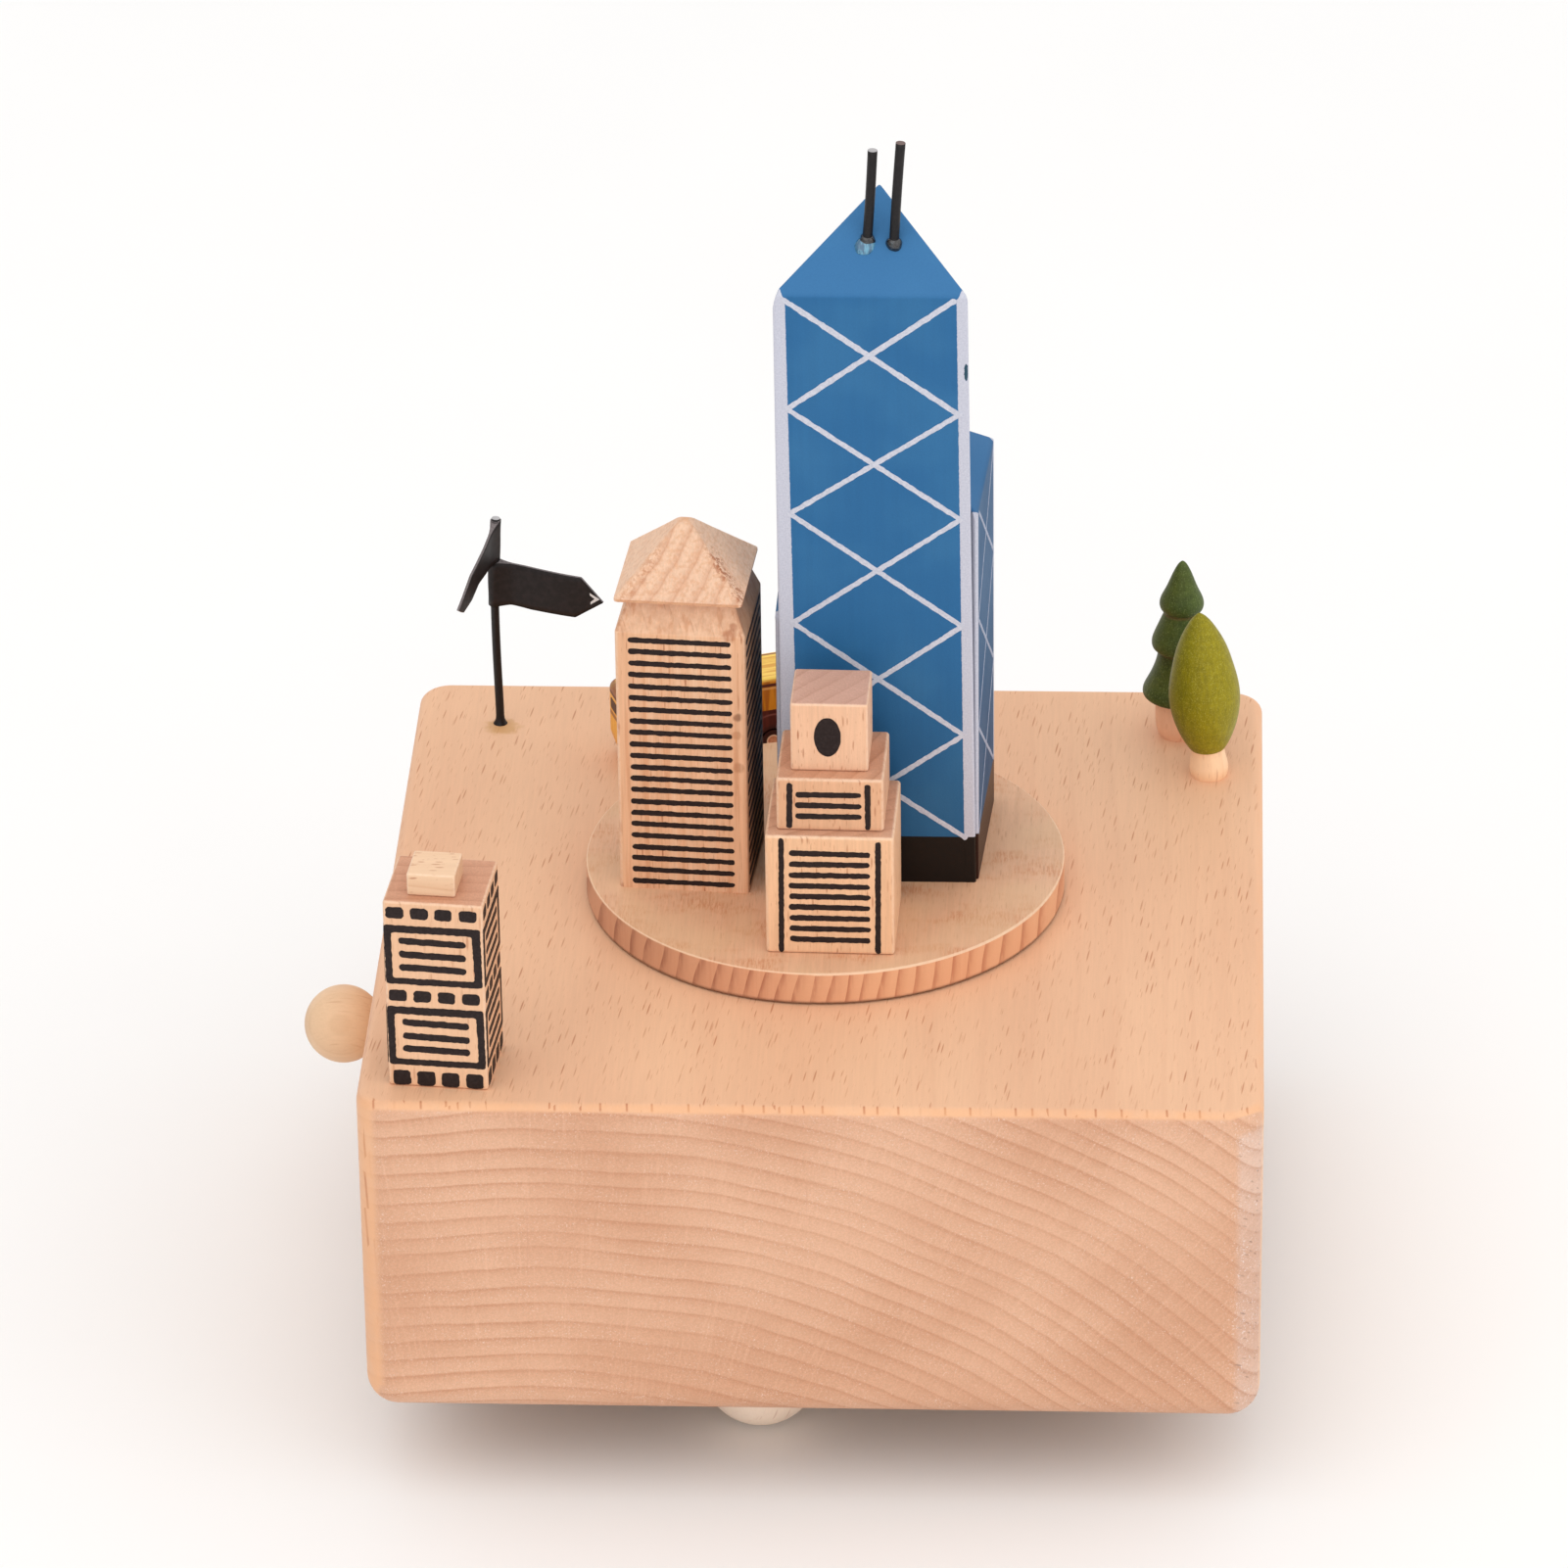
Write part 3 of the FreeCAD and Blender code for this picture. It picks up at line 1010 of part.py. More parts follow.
TRAM = Placement(Vector(mag_x, mag_y, 0), Rotation(Vector(0, 0, 1), TRAM_DEG - 90.0))
node(feature("TramBody", tbody, TRAM), "tram_body")
tmag = Part.makeCylinder(v("tram_magnet_rad"), 1.9, Vector(0, 0, tb + 0.1))
node(feature("TramMagnet", tmag, TRAM), "tram_magnet")
for sx, label in ((-1, "tram_wheelset_rear"), (1, "tram_wheelset_front")):
    ws = Part.makeCylinder(0.4, W - 0.4, Vector(sx * WA, -W / 2 + 0.2, WZ), Vector(0, 1, 0))
    for sy in (-1, 1):
        y0 = -W / 2 + 0.05 if sy < 0 else W / 2 - 1.05
        ws = ws.fuse(Part.makeCylinder(WR, 1.0, Vector(sx * WA, y0, WZ), Vector(0, 1, 0)))
    node(feature(label + "_shape", ws.removeSplitter(), TRAM), label)

# ================================================================ write
DOC.recompute()
for obj in DOC.Objects:
    state = list(obj.State)
    if "Invalid" in state or "Error" in state:
        raise SystemExit("%s is %s" % (obj.Name, state))
labels = [n.Label for n in NODES]
if len(set(labels)) != len(labels):
    raise SystemExit("two nodes share a name")
if len(labels) > 60:
    raise SystemExit("%d nodes" % len(labels))
for n in NODES:
    if n.Shape.isNull() or not n.Shape.isValid():
        raise SystemExit("%s has no valid shape" % n.Label)
    if not n.Shape.Solids:
        raise SystemExit("%s has no solid" % n.Label)
os.makedirs("parts", exist_ok=True)
for n in NODES:
    n.Shape.exportStep("parts/%s.step" % n.Label)
    print("%-26s %d solid(s) %10.1f mm3" % (n.Label, len(n.Shape.Solids), n.Shape.Volume))
print(len(NODES), "nodes")
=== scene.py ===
import math
import random

import bmesh
import bpy
from mathutils import Matrix, Vector, noise


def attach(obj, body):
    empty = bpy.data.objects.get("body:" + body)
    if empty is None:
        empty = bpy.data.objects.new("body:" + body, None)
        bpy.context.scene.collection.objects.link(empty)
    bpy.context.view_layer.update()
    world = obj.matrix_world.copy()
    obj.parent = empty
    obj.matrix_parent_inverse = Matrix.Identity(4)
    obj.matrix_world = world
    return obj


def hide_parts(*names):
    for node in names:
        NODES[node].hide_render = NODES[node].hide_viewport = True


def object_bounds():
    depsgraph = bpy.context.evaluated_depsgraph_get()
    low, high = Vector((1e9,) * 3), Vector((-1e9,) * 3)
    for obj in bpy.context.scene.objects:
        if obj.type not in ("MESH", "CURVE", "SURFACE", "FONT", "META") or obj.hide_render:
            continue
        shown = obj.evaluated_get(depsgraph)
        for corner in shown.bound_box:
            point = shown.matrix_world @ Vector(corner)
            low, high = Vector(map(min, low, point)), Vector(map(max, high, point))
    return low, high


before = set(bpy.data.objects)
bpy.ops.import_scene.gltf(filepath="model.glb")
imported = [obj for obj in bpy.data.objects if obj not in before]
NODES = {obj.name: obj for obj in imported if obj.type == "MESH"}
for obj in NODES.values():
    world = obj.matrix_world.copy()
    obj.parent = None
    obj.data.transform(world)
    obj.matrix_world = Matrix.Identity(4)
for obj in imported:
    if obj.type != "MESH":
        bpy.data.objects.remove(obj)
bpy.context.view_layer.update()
MM = 0.001


def srgb(r, g, b):
    """0-255 sRGB to the linear numbers a shader takes."""
    out = []
    for c in (r, g, b):
        c /= 255.0
        out.append(c / 12.92 if c <= 0.04045 else ((c + 0.055) / 1.055) ** 2.4)
    return (*out, 1.0)


# ------------------------------------------------------------------ materials
class Mat:
    """A small builder for node materials. Lengths inside are in millimetres."""

    def __init__(self, name, scale=1000.0):
        self.m = bpy.data.materials.new(name)
        self.m.use_nodes = True
        self.t = self.m.node_tree
        self.t.nodes.clear()
        self.out = self.t.nodes.new("ShaderNodeOutputMaterial")
        self.b = self.t.nodes.new("ShaderNodeBsdfPrincipled")
        self.t.links.new(self.b.outputs["BSDF"], self.out.inputs["Surface"])
        tc = self.t.nodes.new("ShaderNodeTexCoord")
        self.p = self.vmath("SCALE", tc.outputs["Object"], scale)
        self.n = tc.outputs["Normal"]

    def put(self, socket, value):
        if isinstance(value, bpy.types.NodeSocket):
            self.t.links.new(value, socket)
        else:
            socket.default_value = value

    def math(self, op, a, b=None, c=None, clamp=False):
        n = self.t.nodes.new("ShaderNodeMath")
        n.operation = op
        n.use_clamp = clamp
        for i, x in enumerate((a, b, c)):
            if x is not None:
                self.put(n.inputs[i], x)
        return n.outputs[0]

    def vmath(self, op, a, b=None):
        n = self.t.nodes.new("ShaderNodeVectorMath")
        n.operation = op
        self.put(n.inputs[0], a)
        if op == "SCALE":
            self.put(n.inputs["Scale"], b)
        elif b is not None:
            self.put(n.inputs[1], b)
        return n.outputs["Value"] if op in ("DOT_PRODUCT", "LENGTH", "DISTANCE") else n.outputs["Vector"]

    def sep(self, v):
        n = self.t.nodes.new("ShaderNodeSeparateXYZ")
        self.put(n.inputs[0], v)
        return n.outputs[0], n.outputs[1], n.outputs[2]

    def comb(self, x, y, z):
        n = self.t.nodes.new("ShaderNodeCombineXYZ")
        for i, c in enumerate((x, y, z)):
            self.put(n.inputs[i], c)
        return n.outputs[0]

    def noise(self, vec, scale=1.0, detail=2.0, rough=0.5, dist=0.0, colour=False):
        n = self.t.nodes.new("ShaderNodeTexNoise")
        self.put(n.inputs["Vector"], vec)
        n.inputs["Scale"].default_value = scale
        n.inputs["Detail"].default_value = detail
        n.inputs["Roughness"].default_value = rough
        n.inputs["Distortion"].default_value = dist
        return n.outputs["Color"] if colour else n.outputs["Fac"]

    def voronoi(self, vec, scale=1.0, feature="F1", rand=1.0, out="Distance", flat=False):
        n = self.t.nodes.new("ShaderNodeTexVoronoi")
        n.feature = feature
        if flat:
            n.voronoi_dimensions = "2D"
        self.put(n.inputs["Vector"], vec)
        n.inputs["Scale"].default_value = scale
        n.inputs["Randomness"].default_value = rand
        return n.outputs[out]

    def ramp(self, fac, stops, interp="LINEAR"):
        n = self.t.nodes.new("ShaderNodeValToRGB")
        n.color_ramp.interpolation = interp
        els = n.color_ramp.elements
        while len(els) < len(stops):
            els.new(0.5)
        for e, (pos, col) in zip(els, stops):
            e.position = pos
            e.color = col if hasattr(col, "__len__") else (col, col, col, 1.0)
        self.put(n.inputs[0], fac)
        return n.outputs["Color"]

    def smooth(self, v, a, b, lo=0.0, hi=1.0):
        n = self.t.nodes.new("ShaderNodeMapRange")
        n.interpolation_type = "SMOOTHSTEP"
        self.put(n.inputs["Value"], v)
        for k, x in (("From Min", a), ("From Max", b), ("To Min", lo), ("To Max", hi)):
            self.put(n.inputs[k], x)
        return n.outputs["Result"]

    def mix(self, fac, a, b, blend="MIX"):
        n = self.t.nodes.new("ShaderNodeMix")
        n.data_type = "RGBA"
        n.blend_type = blend
        n.clamp_factor = True
        self.put(n.inputs[0], fac)
        self.put(n.inputs[6], a)
        self.put(n.inputs[7], b)
        return n.outputs[2]

    def bump(self, height, strength=0.3, distance=0.0001, normal=None):
        n = self.t.nodes.new("ShaderNodeBump")
        n.inputs["Strength"].default_value = strength
        n.inputs["Distance"].default_value = distance
        self.put(n.inputs["Height"], height)
        if normal is not None:
            self.put(n.inputs["Normal"], normal)
        self.put(self.b.inputs["Normal"], n.outputs["Normal"])
        return n.outputs["Normal"]

    def finish(self, colour, rough, metallic=0.0, spec=0.5, coat=0.0, coat_rough=0.1, sheen=0.0):
        self.put(self.b.inputs["Base Color"], colour)
        self.put(self.b.inputs["Roughness"], rough)
        self.b.inputs["Metallic"].default_value = metallic
        self.b.inputs["Specular IOR Level"].default_value = spec
        if coat:
            self.b.inputs["Coat Weight"].default_value = coat
            self.b.inputs["Coat Roughness"].default_value = coat_rough
        if sheen:
            self.b.inputs["Sheen Weight"].default_value = sheen
        return self.m


ALB = 0.90  # the white floor needs light above one, so pale things are painted a little darker


def wood(name, fibre="Y", centre=(0.0, 0.0), spacing=2.4, long_light=(240, 191, 150), long_dark=(222, 168, 128),
         end_light=(231, 182, 150), end_dark=(207, 152, 120), fleck=(182, 112, 78), flecks=1.0, ring=1.0, end_ring=1.0,
         shift=(0.0, 0.0, 0.0), warp=1.0, stains=None, rough=0.52, rays=1.0, mottle=1.0, tint=None, cell=(0.80, 5.4), edge=(0.72, 0.94), streak=1.0, alb=None, grit=1.0, wrap=None,
         thin=False, crumbs=False, slant=0.0, foot=None, edge_wear_and_highlight=0.0, edge_ticks=0.0):
    """Solid beech or maple: growth rings about an axis along the fibre, pore flecks along it, rays and specks across its end grain. centre is where the ring axis passes, in the two axes across the fibre."""
    m = Mat(name)
    p = m.vmath("ADD", m.p, tuple(shift))
    x, y, z = m.sep(p)
    u, v, w = {"X": (y, z, x), "Y": (x, z, y), "Z": (x, y, z)}[fibre]
    nx, ny, nz = m.sep(m.n)
    nw = {"X": nx, "Y": ny, "Z": nz}[fibre]
    face_on = m.math("ABSOLUTE", nw)
    if wrap is not None:
        # the end grain reaches further round the edges that face this way
        for comp, gain in zip((nx, ny, nz), wrap):
            if gain:
                face_on = m.math("ADD", face_on, m.math("MULTIPLY", m.math("MAXIMUM", m.math("MULTIPLY", comp, math.copysign(1.0, gain)), 0.0), abs(gain)))
    end = m.smooth(face_on, edge[0], edge[1])
    side = m.math("SUBTRACT", 1.0, end)
    slow = m.comb(m.math("MULTIPLY", u, 0.030), m.math("MULTIPLY", v, 0.030), m.math("MULTIPLY", w, 0.008))
    bend = m.math("MULTIPLY", m.math("SUBTRACT", m.noise(slow, 1.0, 1.0), 0.5), 5.0 * warp)
    ripple = m.math("MULTIPLY", m.math("SUBTRACT", m.noise(slow, 7.0, 2.0), 0.5), 0.55 * warp)
    du, dv = m.math("SUBTRACT", u, centre[0]), m.math("SUBTRACT", v, centre[1])
    r = m.math("SQRT", m.math("ADD", m.math("MULTIPLY", du, du), m.math("MULTIPLY", dv, dv)))
    r = m.math("ADD", m.math("ADD", r, bend), ripple)
    gap = m.noise(m.comb(m.math("MULTIPLY", r, 0.16), 0.0, 0.0), 1.0, 1.0)
    t = m.math("ADD", m.math("DIVIDE", r, spacing), m.math("MULTIPLY", gap, 1.1))
    f = m.math("FRACT", t)
    late = m.ramp(f, [(0.0, 0.30), (0.05, 0.0), (0.40, 0.10), (0.74, 0.40), (0.955, 1.0), (1.0, 0.5)] if thin else
                  [(0.0, 0.35), (0.07, 0.0), (0.45, 0.12), (0.80, 0.50), (0.95, 1.0), (1.0, 0.6)], "EASE")
    fade = m.smooth(m.noise(m.comb(m.math("MULTIPLY", u, 0.06), m.math("MULTIPLY", v, 0.06), m.math("MULTIPLY", w, 0.02)), 1.0, 1.0), 0.30, 0.70, 0.55, 1.0)
    late = m.math("MULTIPLY", late, fade)
    across = {"X": ny, "Y": nx, "Z": nx}[fibre]
    long_ring = m.math("MULTIPLY", m.math("ADD", 0.26, m.math("MULTIPLY", m.math("ABSOLUTE", across), 0.45)), ring)
    strength = m.math("ADD", m.math("MULTIPLY", end, end_ring), m.math("MULTIPLY", side, long_ring))
    late = m.math("MULTIPLY", late, strength, clamp=True)
    light = m.mix(end, srgb(*long_light), srgb(*end_light))
    dark = m.mix(end, srgb(*long_dark), srgb(*end_dark))
    tone = m.smooth(m.noise(m.comb(m.math("MULTIPLY", u, 0.045), m.math("MULTIPLY", v, 0.045), m.math("MULTIPLY", w, 0.014)), 1.0, 2.0), 0.3, 0.7, 0.0, 0.5 * mottle)
    col = m.mix(tone, light, dark)
    col = m.mix(late, col, dark)
    # fine fibre streaks along the grain
    fine = m.noise(m.comb(m.math("MULTIPLY", u, 3.2), m.math("MULTIPLY", v, 3.2), m.math("MULTIPLY", w, 0.16)), 1.0, 3.0, 0.65)
    k = m.smooth(fine, 0.25, 0.75, 1.0 - 0.028 * streak, 1.0 + 0.022 * streak)
    col = m.mix(1.0, col, m.comb(k, k, k), "MULTIPLY")
    # pale specks and rays over the end grain
    speck = m.noise(p, 5.5, 2.0, 0.7)
    ks = m.smooth(speck, 0.36, 0.68, 1.0 - 0.050 * grit, 1.0 + 0.062 * grit)
    ks = m.math("ADD", m.math("MULTIPLY", m.math("SUBTRACT", ks, 1.0), m.math("ADD", m.math("MULTIPLY", end, 0.80), 0.20)), 1.0)
    col = m.mix(1.0, col, m.comb(ks, ks, m.math("ADD", m.math("MULTIPLY", ks, 1.25), -0.25)), "MULTIPLY")
    if crumbs:
        # whitish crumbs where the cutter tore the end grain, thicker in some rings than in others
        where = m.math("MULTIPLY", end, m.smooth(m.noise(m.comb(m.math("MULTIPLY", u, 0.12), m.math("MULTIPLY", v, 0.30), 2.0), 1.0, 2.0), 0.40, 0.62, 0.35, 1.0))
        crumb = m.math("MULTIPLY", m.smooth(m.noise(p, 3.4, 3.0, 0.85), 0.565, 0.65, 0.0, 0.75), where)
        col = m.mix(crumb, col, srgb(250, 224, 206))
        saw = m.smooth(m.noise(m.comb(m.math("MULTIPLY", u, 2.6), m.math("MULTIPLY", v, 0.05), 5.0), 1.0, 2.0, 0.6), 0.62, 0.74, 0.0, 0.30)
        col = m.mix(m.math("MULTIPLY", saw, end), col, srgb(214, 160, 134))
    ang = m.math("ARCTAN2", du, dv)
    ray = m.noise(m.comb(m.math("MULTIPLY", ang, 230.0), m.math("MULTIPLY", r, 0.10), 0.0), 1.0, 2.0, 0.6)
    kr = m.math("MULTIPLY", m.smooth(ray, 0.52, 0.78), m.math("MULTIPLY", end, 0.26 * rays))
    col = m.mix(kr, col, srgb(*[min(255, c + 16) for c in end_light]))
    # pores: short dark dashes along the fibre, two sizes of them
    s_ = m.math("ADD", m.math("ADD", u, m.math("MULTIPLY", v, 0.83)), m.math("MULTIPLY", w, slant))
    dash = None
    for ca, cb, off_, lo_, amp_ in ((cell[0], cell[1], 0.0, 0.30, 0.80), (cell[0] * 0.62, cell[1] * 0.55, 37.3, 0.45, 0.42)):
        q = m.comb(m.math("ADD", m.math("DIVIDE", s_, ca), off_), m.math("ADD", m.math("DIVIDE", w, cb), off_), 0.0)
        pick, pick2, _ = m.sep(m.voronoi(q, 1.0, "F1", 1.0, "Color", True))
        d = m.voronoi(q, 1.0, "F1", 1.0, "Distance", True)
        size = m.smooth(pick, lo_, 1.0, 0.0, 0.235)
        one = m.math("SUBTRACT", 1.0, m.smooth(d, m.math("MULTIPLY", size, 0.45), m.math("ADD", size, 0.02)), clamp=True)
        one = m.math("MULTIPLY", one, m.math("MULTIPLY", m.smooth(pick, lo_, lo_ + 0.05), m.math("ADD", 0.45, m.math("MULTIPLY", pick2, 0.55))))
        one = m.math("MULTIPLY", one, amp_)
        dash = one if dash is None else m.math("MAXIMUM", dash, one)
    dash = m.math("MULTIPLY", dash, m.smooth(face_on, 0.12, 0.45, 1.0, 0.0) if edge_ticks else side)
    dash = m.math("MULTIPLY", dash, m.smooth(m.noise(slow, 6.0, 2.0), 0.30, 0.62, 0.35 * flecks, 1.0 * flecks), clamp=True)
    col = m.mix(dash, col, srgb(*fleck))
    if edge_ticks:
        # the pores cut across by an edge's rounding: short upright ticks, a few of them reddish
        qt = m.comb(m.math("ADD", m.math("MULTIPLY", u, 0.55), m.math("MULTIPLY", w, 0.012)), m.math("MULTIPLY", m.math("ADD", v, w), 0.20), 3.0)
        pt, pt2, _ = m.sep(m.voronoi(qt, 1.0, "F1", 1.0, "Color", True))
        near = m.math("SUBTRACT", u, m.math("DIVIDE", m.sep(m.voronoi(qt, 1.0, "F1", 1.0, "Position", True))[0], 0.55))
        near = m.math("ABSOLUTE", m.math("ADD", near, m.math("MULTIPLY", m.math("ADD", v, w), 0.05)))
        tick = m.math("MULTIPLY", m.smooth(near, 0.06, 0.20, 1.0, 0.0), m.smooth(pt, 0.12, 0.30))
        tick = m.math("MULTIPLY", tick, m.math("MULTIPLY", m.smooth(face_on, 0.06, 0.30), m.smooth(face_on, 0.74, 0.90, 1.0, 0.0)))
        col = m.mix(m.math("MULTIPLY", tick, edge_ticks), col, m.mix(pt2, srgb(176, 98, 66), srgb(206, 138, 98)))
        warm = m.math("MULTIPLY", m.smooth(face_on, 0.02, 0.6), m.smooth(face_on, 0.80, 0.97, 0.50, 0.0))
        warm = m.math("MULTIPLY", warm, m.smooth(m.noise(m.p, 0.35, 2.0), 0.3, 0.6, 0.35, 1.0))
        col = m.mix(warm, col, srgb(246, 184, 136))
    # paler along the edges: sanded wear together with a painted highlight on the roundings
    if edge_wear_and_highlight:
        big_n = m.math("MAXIMUM", m.math("MAXIMUM", m.math("ABSOLUTE", nx), m.math("ABSOLUTE", ny)), m.math("ABSOLUTE", nz))
        rub_and_highlight = m.math("MULTIPLY", m.smooth(big_n, 0.995, 0.90, 0.0, 1.0), m.smooth(m.noise(m.p, 1.7, 2.0), 0.3, 0.6, 0.35, 1.0))
        col = m.mix(m.math("MULTIPLY", rub_and_highlight, edge_wear_and_highlight), col, srgb(255, 226, 200))
    # painted shade: darker in a thin line at the foot, where the piece stands on the base or the disc
    if foot is not None:
        dirt_and_contact_shade = m.smooth(m.math("SUBTRACT", z, m.math("MULTIPLY", m.noise(m.p, 0.7, 2.0), 0.22)), foot + 0.02, foot + 0.22, 1.0, 0.0)
        col = m.mix(m.math("MULTIPLY", dirt_and_contact_shade, 0.75), col, srgb(112, 62, 40))
    if stains:
        for (sx, sy, sz), rad, tone_, amount in stains:
            dd = m.vmath("DISTANCE", m.p, (sx, sy, sz))
            dd = m.math("ADD", dd, m.math("MULTIPLY", m.math("SUBTRACT", m.noise(m.p, 0.9, 2.0), 0.5), rad * 0.9))
            spot = m.math("MULTIPLY", m.smooth(dd, rad * 0.45, rad, 1.0, 0.0), amount)
            col = m.mix(spot, col, srgb(*tone_))
    if tint is not None:
        col = tint(m, col)
    col = m.mix(1.0, col, (alb or ALB, alb or ALB, alb or ALB, 1.0), "MULTIPLY")
    height = m.math("SUBTRACT", m.math("ADD", m.math("MULTIPLY", fine, 0.30), m.math("MULTIPLY", speck, 0.35)), m.math("MULTIPLY", dash, 0.7))
    m.bump(height, 0.22, 0.00005)
    rg = m.math("ADD", m.math("MULTIPLY", speck, 0.14), rough - 0.07)
    return m.finish(col, rg, spec=0.26)


def stained(name, base, low, high, spots, patch=(0.0, 0.0, 5.0), bands=0.0, necks=()):
    """Wood stained through: painted light as a soft gradient, lighter on the crown's right side, with fine lighter
    specks where the grain shows. necks lists heights where the bare wood shows in a groove.
    """
    m = Mat(name)
    x, y, z = m.sep(m.p)
    big = m.noise(m.comb(m.math("MULTIPLY", x, 0.30), m.math("MULTIPLY", y, 0.30), m.math("MULTIPLY", z, 0.16)), 1.0, 2.0)
    col = m.mix(m.smooth(big, 0.35, 0.65), srgb(*base), srgb(*low))
    # painted light: lighter towards +x, the lit right side of the crown
    g = m.smooth(m.math("ADD", x, m.math("MULTIPLY", z, patch[1])), patch[0] - patch[2], patch[0] + patch[2])
    col = m.mix(m.math("MULTIPLY", g, 0.9), col, srgb(*high))
    fine = m.noise(m.comb(m.math("MULTIPLY", x, 2.4), m.math("MULTIPLY", y, 2.4), m.math("MULTIPLY", z, 0.7)), 1.0, 3.0, 0.6)
    k = m.smooth(fine, 0.25, 0.75, 0.84, 1.16)
    col = m.mix(1.0, col, m.comb(k, k, k), "MULTIPLY")
    if bands:
        turn = m.noise(m.comb(m.math("MULTIPLY", x, 0.25), m.math("MULTIPLY", y, 0.25), m.math("MULTIPLY", z, 1.9)), 1.0, 3.0, 0.6)
        kb = m.smooth(turn, 0.35, 0.7, 1.0 - bands, 1.0 + bands)
        col = m.mix(1.0, col, m.comb(kb, kb, kb), "MULTIPLY")
    sp = m.noise(m.p, 5.2, 2.0, 0.75)
    s = m.smooth(sp, 0.52, 0.70, 0.0, 0.55)
    col = m.mix(s, col, srgb(*spots))
    for zn in necks:
        ring_ = m.smooth(m.math("ABSOLUTE", m.math("SUBTRACT", z, zn)), 0.12, 0.42, 0.75, 0.0)
        ring_ = m.math("MULTIPLY", ring_, m.smooth(sp, 0.35, 0.6, 0.5, 1.0))
        col = m.mix(ring_, col, srgb(112, 88, 44))
    m.bump(m.math("ADD", fine, sp), 0.35, 0.00008)
    return m.finish(col, m.math("ADD", 0.40, m.math("MULTIPLY", sp, 0.14)), spec=0.20)


def ink(name, rgb=(33, 22, 21), rough=0.6):
    """Screen-printed ink, thin enough that the grain breaks it here and there."""
    m = Mat(name)
    a = m.noise(m.p, 2.6, 3.0, 0.65)
    col = m.mix(m.smooth(a, 0.35, 0.75), srgb(*rgb), srgb(*[min(255, c + 13) for c in rgb]))
    x, y, z = m.sep(m.p)
    thin = m.noise(m.comb(m.math("MULTIPLY", x, 2.2), m.math("MULTIPLY", y, 2.2), m.math("MULTIPLY", z, 0.5)), 1.0, 4.0, 0.7)
    col = m.mix(m.smooth(thin, 0.68, 0.78, 0.0, 0.5), col, srgb(104, 74, 58))
    m.bump(a, 0.3, 0.00005)
    return m.finish(col, m.math("ADD", rough - 0.05, m.math("MULTIPLY", a, 0.1)), spec=0.22)


def metal(name, rgb, rough=0.32, brushed=(1.0, 1.0, 8.0), dirt_and_contact_shade=0.25):
    m = Mat(name)
    x, y, z = m.sep(m.p)
    a = m.noise(m.comb(m.math("MULTIPLY", x, brushed[0]), m.math("MULTIPLY", y, brushed[1]), m.math("MULTIPLY", z, brushed[2])), 1.0, 3.0, 0.6)
    b = m.noise(m.p, 0.35, 3.0)
    col = m.mix(m.smooth(b, 0.35, 0.75, 0.0, dirt_and_contact_shade), srgb(*rgb), srgb(*[int(c * 0.72) for c in rgb]))
    m.bump(a, 0.12, 0.00004)
    return m.finish(col, m.math("ADD", rough - 0.08, m.math("MULTIPLY", a, 0.16)), metallic=1.0)


def plastic(name, rgb, rough=0.42):
    m = Mat(name)
    a = m.noise(m.p, 6.0, 2.0, 0.6)
    b = m.noise(m.p, 0.12, 2.0)
    col = m.mix(m.smooth(b, 0.3, 0.7, 0.0, 0.3), srgb(*rgb), srgb(*[int(c * 0.86) for c in rgb]))
    m.bump(a, 0.12, 0.00005)
    return m.finish(col, m.math("ADD", rough - 0.05, m.math("MULTIPLY", a, 0.1)), spec=0.45)


